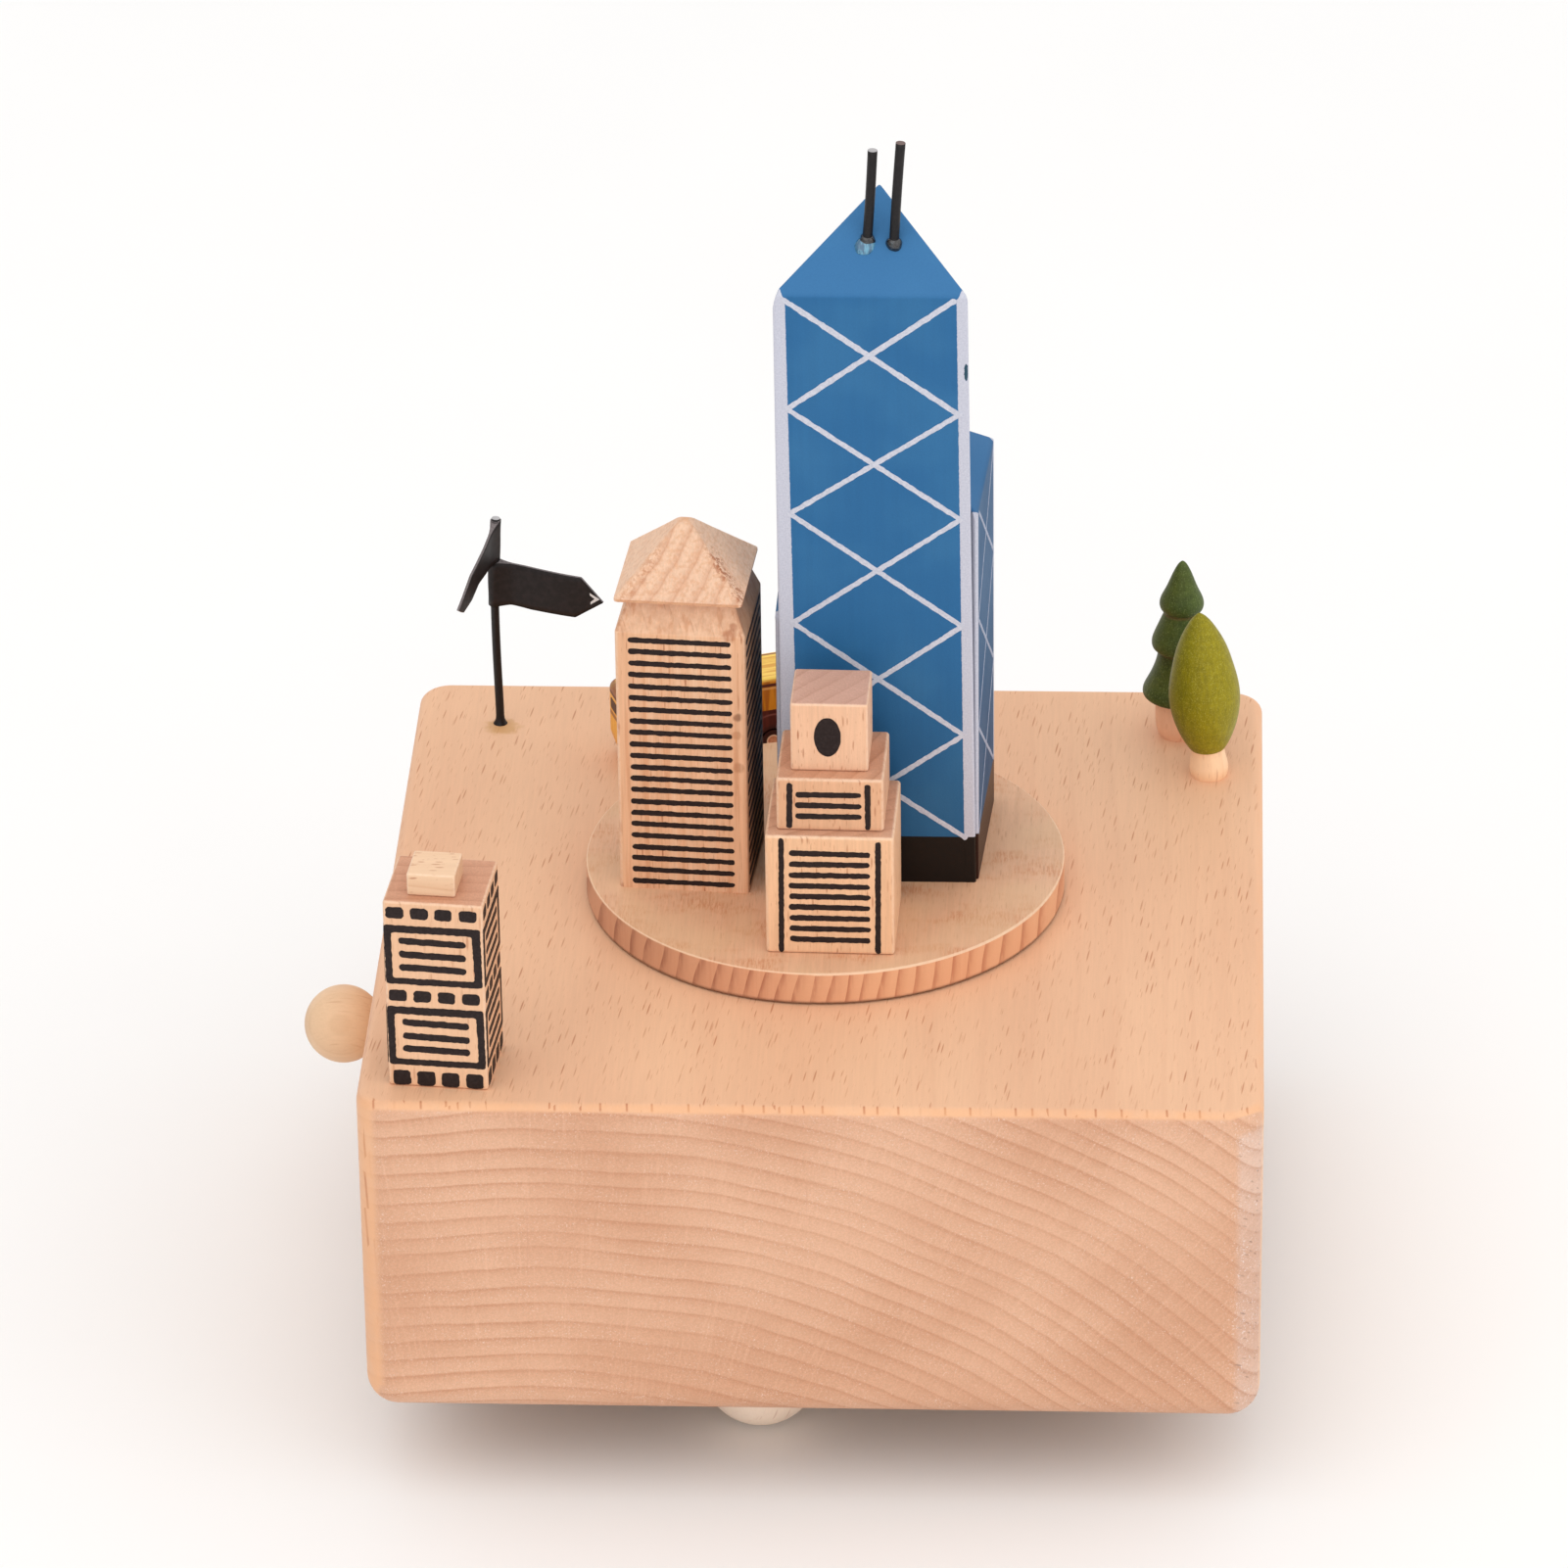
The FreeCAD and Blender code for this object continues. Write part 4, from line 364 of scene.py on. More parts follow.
def tower_paint(name, mid, along, left_line, right_line, eave, tone=((38, 100, 150), (46, 107, 155)), chips=(), gap=None, foot_band=((15, 11, 10), (23, 17, 15)), spec=0.24):
    """Matt blue paint on wood with white edge bands and a black foot band. mid is a point of the face's middle line, along the unit vector across the face; a line (a, b) puts a band's inner edge at a + b * z from the middle. chips are (s, z, half width, half height) where the white is knocked off."""
    m = Mat(name)
    x, y, z = m.sep(m.p)
    s = m.math("ADD", m.math("MULTIPLY", m.math("SUBTRACT", x, mid[0]), along[0]), m.math("MULTIPLY", m.math("SUBTRACT", y, mid[1]), along[1]))
    depth = m.math("SUBTRACT", m.math("MULTIPLY", m.math("SUBTRACT", y, mid[1]), along[0]), m.math("MULTIPLY", m.math("SUBTRACT", x, mid[0]), along[1]))
    n1 = m.noise(m.p, 0.10, 2.0)
    n2 = m.noise(m.p, 4.5, 3.0, 0.65)
    vert = m.noise(m.comb(m.math("MULTIPLY", x, 1.4), m.math("MULTIPLY", y, 1.4), m.math("MULTIPLY", z, 0.05)), 1.0, 2.0)
    blue = m.mix(m.smooth(n1, 0.35, 0.65), srgb(*tone[0]), srgb(*tone[1]))
    kk = m.math("ADD", m.smooth(n2, 0.3, 0.7, -0.035, 0.035), m.smooth(vert, 0.3, 0.7, 0.985, 1.02))
    blue = m.mix(1.0, blue, m.comb(kk, kk, kk), "MULTIPLY")
    # painted shade: the blue darker towards the foot, where less light reaches
    painted_foot_shade = m.smooth(z, 54.0, 84.0, 0.80, 1.0)
    blue = m.mix(1.0, blue, m.comb(painted_foot_shade, painted_foot_shade, painted_foot_shade), "MULTIPLY")
    wob = m.math("MULTIPLY", m.math("SUBTRACT", m.noise(m.comb(0.0, 0.0, z), 0.8, 3.0, 0.6), 0.5), 0.16)
    ragged = m.math("MULTIPLY", m.math("SUBTRACT", m.noise(m.p, 3.6, 2.0), 0.5), 0.10)
    sw = m.math("ADD", s, m.math("ADD", wob, ragged))
    ll = m.math("ADD", left_line[0], m.math("MULTIPLY", z, left_line[1]))
    rl = m.math("ADD", right_line[0], m.math("MULTIPLY", z, right_line[1]))
    left = m.smooth(m.math("SUBTRACT", sw, ll), -0.05, 0.05, 1.0, 0.0)
    right = m.smooth(m.math("SUBTRACT", sw, rl), -0.05, 0.05, 0.0, 1.0)
    band = m.math("MAXIMUM", left, right)
    # the bands end a little over the eave, rounded, and reach round the corner by half a millimetre
    out_ = m.math("MAXIMUM", m.math("SUBTRACT", ll, sw), m.math("SUBTRACT", sw, rl))
    top_ = m.math("ADD", eave - 0.1, m.math("MULTIPLY", m.smooth(out_, 0.0, 0.9), 1.15))
    band = m.math("MULTIPLY", band, m.smooth(m.math("SUBTRACT", z, top_), -0.05, 0.08, 1.0, 0.0))
    band = m.math("MULTIPLY", band, m.smooth(depth, 0.75, 0.9, 1.0, 0.0))
    for cs, cz, cw, ch in chips:
        e1 = m.math("DIVIDE", m.math("ADD", m.math("SUBTRACT", s, cs), m.math("MULTIPLY", ragged, 2.0)), cw)
        e2 = m.math("DIVIDE", m.math("ADD", m.math("SUBTRACT", z, cz), m.math("MULTIPLY", ragged, 3.0)), ch)
        e = m.math("ADD", m.math("MULTIPLY", e1, e1), m.math("POWER", m.math("ABSOLUTE", e2), 4.0))
        hit = m.smooth(e, 0.8, 1.2, 1.0, 0.0)
        band = m.math("MULTIPLY", band, m.math("SUBTRACT", 1.0, hit))
        blue = m.mix(hit, blue, srgb(40, 74, 92))
    grey = m.mix(m.smooth(n2, 0.3, 0.7), srgb(186, 189, 204), srgb(202, 204, 217))
    col = m.mix(band, blue, grey)
    roof = m.smooth(z, eave - 0.2, eave + 0.6)
    roof = m.math("MULTIPLY", roof, m.math("SUBTRACT", 1.0, band))
    col = m.mix(m.math("MULTIPLY", roof, 0.6), col, m.mix(n2, srgb(56, 114, 166), srgb(66, 124, 174)))
    if gap is not None:
        # painted shade: a dark line along the upright edge that meets the next shaft, the shadow in the gap between
        # them
        g = m.smooth(m.math("ADD", s, m.math("MULTIPLY", wob, 0.15)), gap + 0.03, gap + 0.07, 1.0, 0.0)
        g = m.math("MULTIPLY", g, m.smooth(z, eave - 0.4, eave + 0.1, 1.0, 0.0))
        col = m.mix(m.math("MULTIPLY", g, 0.92), col, srgb(26, 24, 30))
    low = m.smooth(m.math("ADD", z, m.math("MULTIPLY", wob, 0.5)), 55.47, 55.55, 1.0, 0.0)
    black = m.mix(n2, srgb(*foot_band[0]), srgb(*foot_band[1]))
    col = m.mix(low, col, black)
    m.bump(m.math("ADD", n2, m.math("MULTIPLY", band, 1.2)), 0.30, 0.00006)
    return m.finish(col, m.math("ADD", m.math("ADD", 0.54, m.math("MULTIPLY", n2, 0.12)), m.math("MULTIPLY", low, -0.24)), spec=spec)


# ------------------------------------------------------------------ mesh tools
def new_object(name, bm, mats, body, smooth=False):
    me = bpy.data.meshes.new(name)
    bm.normal_update()
    bm.to_mesh(me)
    bm.free()
    o = bpy.data.objects.new(name, me)
    bpy.context.scene.collection.objects.link(o)
    for mat in mats if isinstance(mats, (list, tuple)) else [mats]:
        me.materials.append(mat)
    for poly in me.polygons:
        poly.use_smooth = smooth
    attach(o, body)
    return o


def wobble(p, amp, scale, seed):
    a = noise.noise(Vector((p[0] * scale, p[1] * scale, seed)))
    b = noise.noise(Vector((p[0] * scale + 31.7, p[1] * scale, seed + 9.1)))
    return (p[0] + amp * a, p[1] + amp * b)


def rounded(pts, radii, step=0.35, amp=0.05, scale=2.2, seed=0.0):
    """A polygon with rounded corners, cut finely and wobbled a little."""
    n = len(pts)
    out = []
    for i in range(n):
        a, b, c = (Vector(pts[(i + k) % n]) for k in (-1, 0, 1))
        r = radii if not hasattr(radii, "__len__") else radii[i]
        e1, e2 = (a - b).normalized(), (c - b).normalized()
        ang = e1.angle(e2)
        t = min(r / math.tan(ang / 2), (a - b).length * 0.49, (c - b).length * 0.49)
        rr = t * math.tan(ang / 2)
        mid = (e1 + e2).normalized()
        o = b + mid * (rr / math.sin(ang / 2))
        p0, p1 = b + e1 * t - o, b + e2 * t - o
        k = max(2, int(rr * 1.6 / 0.12))
        for j in range(k + 1):
            f = j / k
            d = p0 * (1 - f) + p1 * f
            d = d.normalized() * rr
            out.append(tuple(o + d))
    fine = []
    for i, a in enumerate(out):
        b = out[(i + 1) % len(out)]
        L = math.dist(a, b)
        k = max(1, int(L / step))
        for j in range(k):
            f = j / k
            fine.append((a[0] + (b[0] - a[0]) * f, a[1] + (b[1] - a[1]) * f))
    return [wobble(q, amp, scale, seed) for q in fine]


def stroke(p0, p1, w, amp=0.05, seed=0.0, scale=2.2, taper=0.0):
    a, b = Vector(p0), Vector(p1)
    d = (b - a).normalized()
    nrm = Vector((-d.y, d.x))
    h = w / 2
    pts = [a - d * h - nrm * h, b + d * h - nrm * h * (1 - taper), b + d * h + nrm * h * (1 - taper), a - d * h + nrm * h]
    return rounded([tuple(q) for q in pts], h * 0.98, amp=amp, scale=scale, seed=seed)


def oval(cx, cz, rx, rz, seed=0.0, amp=0.05):
    n = 56
    return [wobble((cx + rx * math.cos(2 * math.pi * i / n), cz + rz * math.sin(2 * math.pi * i / n)), amp, 1.4, seed) for i in range(n)]


def rect(u0, z0, u1, z1, r, seed=0.0, amp=0.05):
    return rounded([(u0, z0), (u1, z0), (u1, z1), (u0, z1)], r, amp=amp, seed=seed)


class Face:
    """A flat face: origin in mm, u across it, out of it the normal."""

    def __init__(self, cx, cy, deg, off, side):
        a = math.radians(deg + {"front": 0, "right": 90, "back": 180, "left": 270}[side])
        self.u = Vector((math.cos(a), math.sin(a), 0))
        self.n = Vector((math.sin(a), -math.cos(a), 0))
        self.o = Vector((cx, cy, 0)) + self.n * off

    def at(self, u, z, out=0.0):
        return (self.o + self.u * u + self.n * out + Vector((0, 0, z))) * MM


def print_on(name, face, shapes, mat, body, rings=(), thick=0.035, sink=0.02):
    """Ink or paint shapes as one thin raised mesh on a face. shapes are outlines in (u, z) mm; rings are (outer, inner) outlines with the same number of points."""
    bm = bmesh.new()
    for pts in shapes:
        lo = [bm.verts.new(face.at(u, z, -sink)) for u, z in pts]
        hi = [bm.verts.new(face.at(u, z, thick)) for u, z in pts]
        bm.faces.new(hi)
        bm.faces.new(lo[::-1])
        n = len(pts)
        for i in range(n):
            j = (i + 1) % n
            bm.faces.new((lo[i], lo[j], hi[j], hi[i]))
    for outer, inner in rings:
        n = len(outer)
        V = [[bm.verts.new(face.at(u, z, h)) for u, z in ring] for ring in (outer, inner) for h in (-sink, thick)]
        ol, oh, il, ih = V
        for i in range(n):
            j = (i + 1) % n
            bm.faces.new((oh[i], oh[j], ih[j], ih[i]))
            bm.faces.new((ol[j], ol[i], il[i], il[j]))
            bm.faces.new((ol[i], ol[j], oh[j], oh[i]))
            bm.faces.new((il[j], il[i], ih[i], ih[j]))
    bmesh.ops.recalc_face_normals(bm, faces=bm.faces)
    return new_object(name, bm, mat, body)


def tube(name, path, radius, mat, body, segs=20, caps=None, replaces=(), radii=None):
    """A round wire along a list of points in mm, with flat ends whose faces may take caps, a second material."""
    bm = bmesh.new()
    P = [Vector(p) for p in path]
    rings = []
    ref = Vector((0.3, 0.9, 0.1)).normalized()
    for i, p in enumerate(P):
        d = (P[min(i + 1, len(P) - 1)] - P[max(i - 1, 0)]).normalized()
        a = (ref - d * ref.dot(d)).normalized()
        b = d.cross(a)
        r = radii[i] if radii else radius
        rings.append([bm.verts.new((p + (a * math.cos(t) + b * math.sin(t)) * r) * MM) for t in (2 * math.pi * k / segs for k in range(segs))])
    for r0, r1 in zip(rings, rings[1:]):
        for k in range(segs):
            j = (k + 1) % segs
            f = bm.faces.new((r0[k], r0[j], r1[j], r1[k]))
            f.smooth = True
    ends = [bm.faces.new(rings[0][::-1]), bm.faces.new(rings[-1])]
    if caps is not None:
        for f in ends:
            f.material_index = 1
    bm.faces.ensure_lookup_table()
    smooth = [f.smooth for f in bm.faces]
    o = new_object(name, bm, [mat] + ([caps] if caps is not None else []), body)
    for poly, s in zip(o.data.polygons, smooth):
        poly.use_smooth = s
    if replaces:
        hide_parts(*replaces)
    return o


def revolve(bm, profile, centre, segs=48, squash=1.0):
    """Adds a surface of revolution to bm: profile is (radius, z) from bottom to top in mm."""
    rings = []
    for r, z in profile:
        if r < 1e-6:
            rings.append([bm.verts.new(Vector((centre[0], centre[1], z + centre[2])) * MM)])
        else:
            rings.append([bm.verts.new(Vector((centre[0] + r * math.cos(2 * math.pi * k / segs), centre[1] + r * squash * math.sin(2 * math.pi * k / segs), z + centre[2])) * MM) for k in range(segs)])
    for a, b in zip(rings, rings[1:]):
        for k in range(segs):
            j = (k + 1) % segs
            if len(a) == 1:
                bm.faces.new((a[0], b[j], b[k]))
            elif len(b) == 1:
                bm.faces.new((a[k], a[j], b[0]))
            else:
                bm.faces.new((a[k], a[j], b[j], b[k]))
    return rings


def smooth_by_angle(o, degrees=28):
    """Shades a CAD node smooth across shallow creases, its vertices untouched."""
    me = o.data
    for poly in me.polygons:
        poly.use_smooth = True
    me.set_sharp_from_angle(angle=math.radians(degrees))


def paint(node, mat):
    o = NODES[node]
    o.data.materials.clear()
    o.data.materials.append(mat)


for o in NODES.values():
    smooth_by_angle(o)

# ------------------------------------------------------------------ the wood
def base_tint(m, col):
    """The upright right edge is paler and pinker: a painted highlight on the rounding that faces the light, with the
    rings and small dark ticks going on round it.
    """
    x, y, z = m.sep(m.p)
    nx, ny, nz = m.sep(m.n)
    lit_right_edge = m.math("MULTIPLY", m.smooth(nx, 0.10, 0.40), m.smooth(m.math("ADD", z, m.math("MULTIPLY", m.noise(m.p, 0.8, 1.0), 1.0)), 41.2, 43.0, 1.0, 0.0))
    # painted highlight: the right-facing rounding made paler
    col = m.mix(lit_right_edge, col, m.mix(1.0, col, (1.01, 1.16, 1.36, 1.0), "MULTIPLY"))
    q = m.comb(m.math("MULTIPLY", m.math("ADD", y, m.math("MULTIPLY", z, 0.75)), 1.25), m.math("MULTIPLY", m.math("SUBTRACT", z, m.math("MULTIPLY", y, 0.75)), 0.42), 2.0)
    d = m.voronoi(q, 1.0, "F1", 1.0, "Distance", True)
    pick, pick2, _ = m.sep(m.voronoi(q, 1.0, "F1", 1.0, "Color", True))
    tick = m.math("MULTIPLY", m.smooth(d, 0.07, 0.17, 1.0, 0.0), m.smooth(pick, 0.45, 0.6))
    tick = m.math("MULTIPLY", tick, m.math("MULTIPLY", lit_right_edge, m.math("ADD", 0.2, m.math("MULTIPLY", pick2, 0.5))))
    return m.mix(tick, col, srgb(150, 120, 106))


base_mat = wood("beech_base", "Y", centre=(-33.0, -80.0), spacing=2.4, long_light=(245, 196, 158), long_dark=(230, 176, 140), warp=0.8, mottle=1.0, grit=1.1, crumbs=True, flecks=1.0, cell=(0.56, 7.6), slant=-0.12,
                end_light=(233, 184, 152), end_dark=(206, 148, 114), end_ring=0.85, thin=True, fleck=(192, 120, 82), edge=(0.80, 0.97), wrap=(0.62, 0.0, -0.5), edge_ticks=0.85, tint=base_tint,
                stains=[((-43.6, 40.4, 44.5), 2.8, (212, 158, 96), 0.7)])


def disc_tint(m, col):
    """Orange-brown fibre patches and fine streaks on the top. Round the rim slanted growth lines, each with a sharp
    dark-red left edge; the rim is painted lighter to the right and darker to the left, with a painted highlight along
    the rounded top edge and a painted shadow line at its foot.
    """
    x, y, z = m.sep(m.p)
    nx, ny, nz = m.sep(m.n)
    a = m.noise(m.comb(m.math("MULTIPLY", x, 0.10), m.math("MULTIPLY", y, 0.16), 7.0), 1.0, 3.0, 0.6)
    b = m.noise(m.comb(m.math("MULTIPLY", x, 4.2), m.math("MULTIPLY", y, 0.5), 3.0), 1.0, 3.0, 0.7)
    patch = m.math("MULTIPLY", m.smooth(a, 0.45, 0.64), m.smooth(b, 0.42, 0.62, 0.08, 0.80))
    col = m.mix(patch, col, srgb(212, 138, 94))
    c = m.noise(m.comb(m.math("MULTIPLY", x, 0.07), m.math("MULTIPLY", y, 0.07), 1.0), 1.0, 2.0)
    col = m.mix(m.smooth(c, 0.45, 0.62, 0.0, 0.4), col, srgb(234, 194, 152))
    rim = m.smooth(m.math("ABSOLUTE", nz), 0.35, 0.15)
    t = m.math("ADD", m.math("ADD", m.math("MULTIPLY", x, 0.476), m.math("MULTIPLY", z, -0.10)), m.math("MULTIPLY", m.noise(m.comb(m.math("MULTIPLY", x, 0.10), 0.0, m.math("MULTIPLY", z, 0.05)), 1.0, 2.0), 1.6))
    f = m.math("FRACT", t)
    line = m.ramp(f, [(0.0, 1.0), (0.09, 0.82), (0.30, 0.30), (0.60, 0.06), (0.955, 0.0), (0.985, 1.0)])
    fine = m.noise(m.comb(m.math("MULTIPLY", x, 1.9), m.math("MULTIPLY", y, 0.3), m.math("MULTIPLY", z, 0.25)), 1.0, 3.0, 0.65)
    amount = m.math("MULTIPLY", m.math("MULTIPLY", line, m.smooth(fine, 0.3, 0.6, 0.30, 0.68)), rim)
    # painted light: the rim and its growth lines lighter to the right, darker to the left
    painted_rim_light = m.mix(m.smooth(x, -24.0, 14.0), srgb(220, 162, 130), srgb(246, 186, 144))
    col = m.mix(m.math("MULTIPLY", rim, 0.75), col, painted_rim_light)
    col = m.mix(amount, col, m.mix(m.smooth(x, -24.0, 14.0), srgb(140, 76, 58), srgb(184, 104, 72)))
    # painted highlight along the rounded top edge
    col = m.mix(m.math("MULTIPLY", m.smooth(nz, 0.20, 0.55), m.smooth(nz, 0.99, 0.90, 0.0, 0.6)), col, srgb(255, 220, 186))
    # painted shadow: a dark line at the rim's foot, in the gap over the base
    painted_gap_shadow = m.math("MULTIPLY", m.smooth(m.math("ADD", z, m.math("MULTIPLY", fine, 0.2)), 44.95, 45.35, 1.0, 0.0), m.smooth(nz, 0.5, 0.2))
    return m.mix(m.math("MULTIPLY", painted_gap_shadow, 0.55), col, srgb(86, 50, 44))


disc_mat = wood("beech_disc", "Y", centre=(160.0, 40.0), spacing=2.6, long_light=(240, 192, 156), long_dark=(222, 168, 130), tint=disc_tint,
                end_light=(240, 184, 146), end_dark=(222, 160, 122), mottle=1.2, shift=(13.0, 7.0, 3.0), flecks=0.55, edge=(0.30, 0.55), cell=(0.45, 4.5), streak=2.2)
def tall_tint(m, col):
    """Streaky upright grain with orange and grey-brown stripes; the side to the right is darker with painted shade, the
    slopes under the roof browner.
    """
    x, y, z = m.sep(m.p)
    nx, ny, nz = m.sep(m.n)
    a = m.noise(m.comb(m.math("MULTIPLY", x, 0.95), m.math("MULTIPLY", y, 0.95), m.math("MULTIPLY", z, 0.035)), 1.0, 3.0, 0.6)
    col = m.mix(m.smooth(a, 0.54, 0.66, 0.0, 0.42), col, srgb(214, 144, 100))
    col = m.mix(m.smooth(a, 0.50, 0.34, 0.0, 0.5), col, srgb(252, 212, 178))
    b = m.noise(m.comb(m.math("MULTIPLY", x, 3.4), m.math("MULTIPLY", y, 3.4), m.math("MULTIPLY", z, 0.10)), 1.0, 3.0, 0.7)
    k = m.smooth(b, 0.3, 0.7, 0.94, 1.05)
    col = m.mix(1.0, col, m.comb(k, k, k), "MULTIPLY")
    slope = m.math("MULTIPLY", m.smooth(nz, 0.25, 0.5), m.smooth(m.noise(m.p, 0.5, 3.0, 0.7), 0.35, 0.65, 0.15, 0.75))
    col = m.mix(slope, col, srgb(188, 124, 88))
    # painted shade: the side facing right made darker
    kr = m.smooth(nx, 0.4, 0.9, 1.0, 0.55)
    return m.mix(1.0, col, m.comb(kr, m.math("MULTIPLY", kr, m.smooth(nx, 0.4, 0.9, 1.0, 0.93)), m.math("MULTIPLY", kr, m.smooth(nx, 0.4, 0.9, 1.0, 0.88))), "MULTIPLY")


def roof_tint(m, col):
    """Bands of grain that fan down from the tip, fibres torn across them, and brown specks by the right hip."""
    x, y, z = m.sep(m.p)
    nx, ny, nz = m.sep(m.n)
    dx, dy = m.math("ADD", x, 16.5), m.math("ADD", y, 2.25)
    down = m.math("SUBTRACT", 98.15, z)
    fan = m.math("ADD", m.math("MULTIPLY", dx, m.math("SUBTRACT", 1.0, m.math("MULTIPLY", down, 0.03))), m.math("MULTIPLY", down, 0.56))
    t = m.math("ADD", m.math("MULTIPLY", fan, 0.50), m.math("MULTIPLY", m.noise(m.comb(m.math("MULTIPLY", x, 0.22), m.math("MULTIPLY", y, 0.22), m.math("MULTIPLY", z, 0.22)), 1.0, 2.0), 0.45))
    band = m.ramp(m.math("FRACT", t), [(0.0, 0.55), (0.12, 0.10), (0.5, 0.0), (0.85, 0.55), (0.97, 1.0)], "EASE")
    front = m.smooth(ny, -0.15, -0.4)
    col = m.mix(m.math("MULTIPLY", band, m.math("ADD", 0.15, m.math("MULTIPLY", front, 0.42))), col, srgb(206, 146, 112))
    torn = m.noise(m.comb(m.math("MULTIPLY", dx, 4.0), m.math("MULTIPLY", dy, 1.0), m.math("MULTIPLY", z, 2.4)), 1.0, 3.0, 0.7)
    k = m.smooth(torn, 0.32, 0.68, 0.94, 1.06)
    col = m.mix(1.0, col, m.comb(k, k, k), "MULTIPLY")
    hip = m.smooth(m.math("ABSOLUTE", m.math("SUBTRACT", dx, m.math("MULTIPLY", dy, -1.0))), 0.6, 2.6, 1.0, 0.0)
    hip = m.math("MULTIPLY", hip, m.math("MULTIPLY", m.smooth(dx, 1.5, 4.0), m.smooth(dy, -0.5, -2.5)))
    spots = m.smooth(m.noise(m.p, 1.3, 3.0, 0.75), 0.47, 0.58)
    col = m.mix(m.math("MULTIPLY", m.math("MULTIPLY", spots, hip), 0.85), col, srgb(168, 92, 48))
    left_hip = m.smooth(m.math("ABSOLUTE", m.math("ADD", dx, m.math("MULTIPLY", dy, -1.0))), 0.3, 1.5, 1.0, 0.0)
    left_hip = m.math("MULTIPLY", left_hip, m.math("MULTIPLY", m.smooth(dx, -1.5, -4.0), m.smooth(dy, -0.5, -2.5)))
    return m.mix(m.math("MULTIPLY", m.math("MULTIPLY", spots, left_hip), 0.5), col, srgb(190, 120, 80))


tall_mat = wood("beech_tall", "Z", centre=(60.0, 95.0), spacing=2.2, long_light=(246, 198, 160), long_dark=(224, 166, 124), tint=tall_tint, foot=49.0, edge_wear_and_highlight=0.35,
                end_light=(224, 172, 138), end_dark=(198, 144, 112), shift=(3.0, 31.0, 11.0), flecks=1.1, cell=(0.6, 6.0),
                stains=[((-11.1, -10.0, 85.2), 1.15, (178, 104, 62), 0.7), ((-10.6, -9.6, 86.2), 0.7, (166, 92, 54), 0.6), ((-10.2, -10.1, 73.9), 0.75, (122, 74, 50), 0.7), ((-10.2, -10.1, 66.8), 0.9, (170, 108, 72), 0.5), ((-10.3, -10.1, 71.3), 0.8, (190, 126, 84), 0.5)])
roof_mat = wood("beech_roof", "Y", centre=(-18.0, 77.0), spacing=2.6, long_light=(233, 181, 143), long_dark=(216, 156, 118), tint=roof_tint,
                end_light=(229, 177, 139), end_dark=(213, 156, 118), ring=0.5, end_ring=0.3, warp=0.8, flecks=0.5, edge_wear_and_highlight=0.45)
step_mat = wood("beech_stepped", "Z", centre=(-70.0, 30.0), spacing=2.3, long_light=(252, 206, 172), long_dark=(236, 184, 146),
                end_light=(232, 184, 162), end_dark=(208, 158, 134), shift=(9.0, -12.0, 5.0), flecks=1.15, cell=(0.6, 3.6), edge_wear_and_highlight=0.4, streak=2.2)
# painted shade: a darker copy of the stepped wood for the middle block
step_mid_shaded_mat = wood("beech_stepped_mid_painted_shade", "Z", centre=(-70.0, 30.0), spacing=2.3, long_light=(240, 190, 152), long_dark=(224, 168, 128),
                    end_light=(222, 168, 136), end_dark=(196, 140, 108), shift=(19.0, -2.0, 5.0), flecks=1.2, cell=(0.6, 3.6), edge_wear_and_highlight=0.4, streak=2.4)
step_low_mat = wood("beech_stepped_low", "Z", centre=(40.0, -90.0), spacing=2.3, long_light=(250, 204, 164), long_dark=(234, 182, 140),
                    end_light=(224, 174, 144), end_dark=(198, 148, 118), shift=(-9.0, 22.0, 15.0), flecks=1.0, cell=(0.6, 4.6), edge_wear_and_highlight=0.4, foot=49.0, streak=2.6)
corner_mat = wood("beech_corner", "Z", centre=(-44.0, 160.0), spacing=2.1, long_light=(248, 202, 164), long_dark=(232, 180, 142),
                  end_light=(230, 174, 142), end_dark=(196, 138, 106), shift=(4.0, 2.0, 25.0), flecks=0.8, edge_wear_and_highlight=0.35, foot=44.5, streak=2.0)
cap_mat = wood("beech_cap", "X", centre=(-80.0, 130.0), spacing=1.6, long_light=(246, 208, 172), long_dark=(230, 184, 146),
               end_light=(240, 196, 158), end_dark=(216, 168, 130), shift=(4.0, 2.0, 25.0), flecks=1.3, ring=1.4, cell=(0.7, 3.0), edge_wear_and_highlight=0.4, foot=70.2)
ball_mat = wood("maple_ball", "X", centre=(-20.0, 45.0), spacing=1.9, long_light=(242, 204, 166), long_dark=(226, 184, 144),
                end_light=(232, 194, 156), end_dark=(212, 172, 134), flecks=0.4, shift=(2.0, 5.0, 7.0), rough=0.46)
# painted light: a paler copy of the maple for the winding ball, making up for the shade under the base
ball_low_lit_mat = wood("maple_ball_low_painted_light", "Z", centre=(25.0, 20.0), spacing=1.9, long_light=(255, 234, 214), long_dark=(246, 218, 194), alb=1.0,
                 end_light=(250, 226, 204), end_dark=(236, 208, 182), flecks=0.4, shift=(2.0, 5.0, 7.0), rough=0.46)
trunk_mat = wood("beech_trunk", "Z", centre=(20.0, 10.0), spacing=1.6, long_light=(255, 216, 176), long_dark=(244, 196, 154), alb=1.0,
                 end_light=(224, 176, 136), end_dark=(200, 148, 112), flecks=0.5, shift=(2.0, 5.0, 7.0))
trunk2_mat = wood("beech_trunk_fir", "Z", centre=(20.0, 10.0), spacing=1.6, long_light=(248, 200, 166), long_dark=(230, 176, 140), alb=1.0, foot=44.5,
                  end_light=(234, 182, 146), end_dark=(210, 156, 120), flecks=0.6, shift=(7.0, 1.0, 2.0))
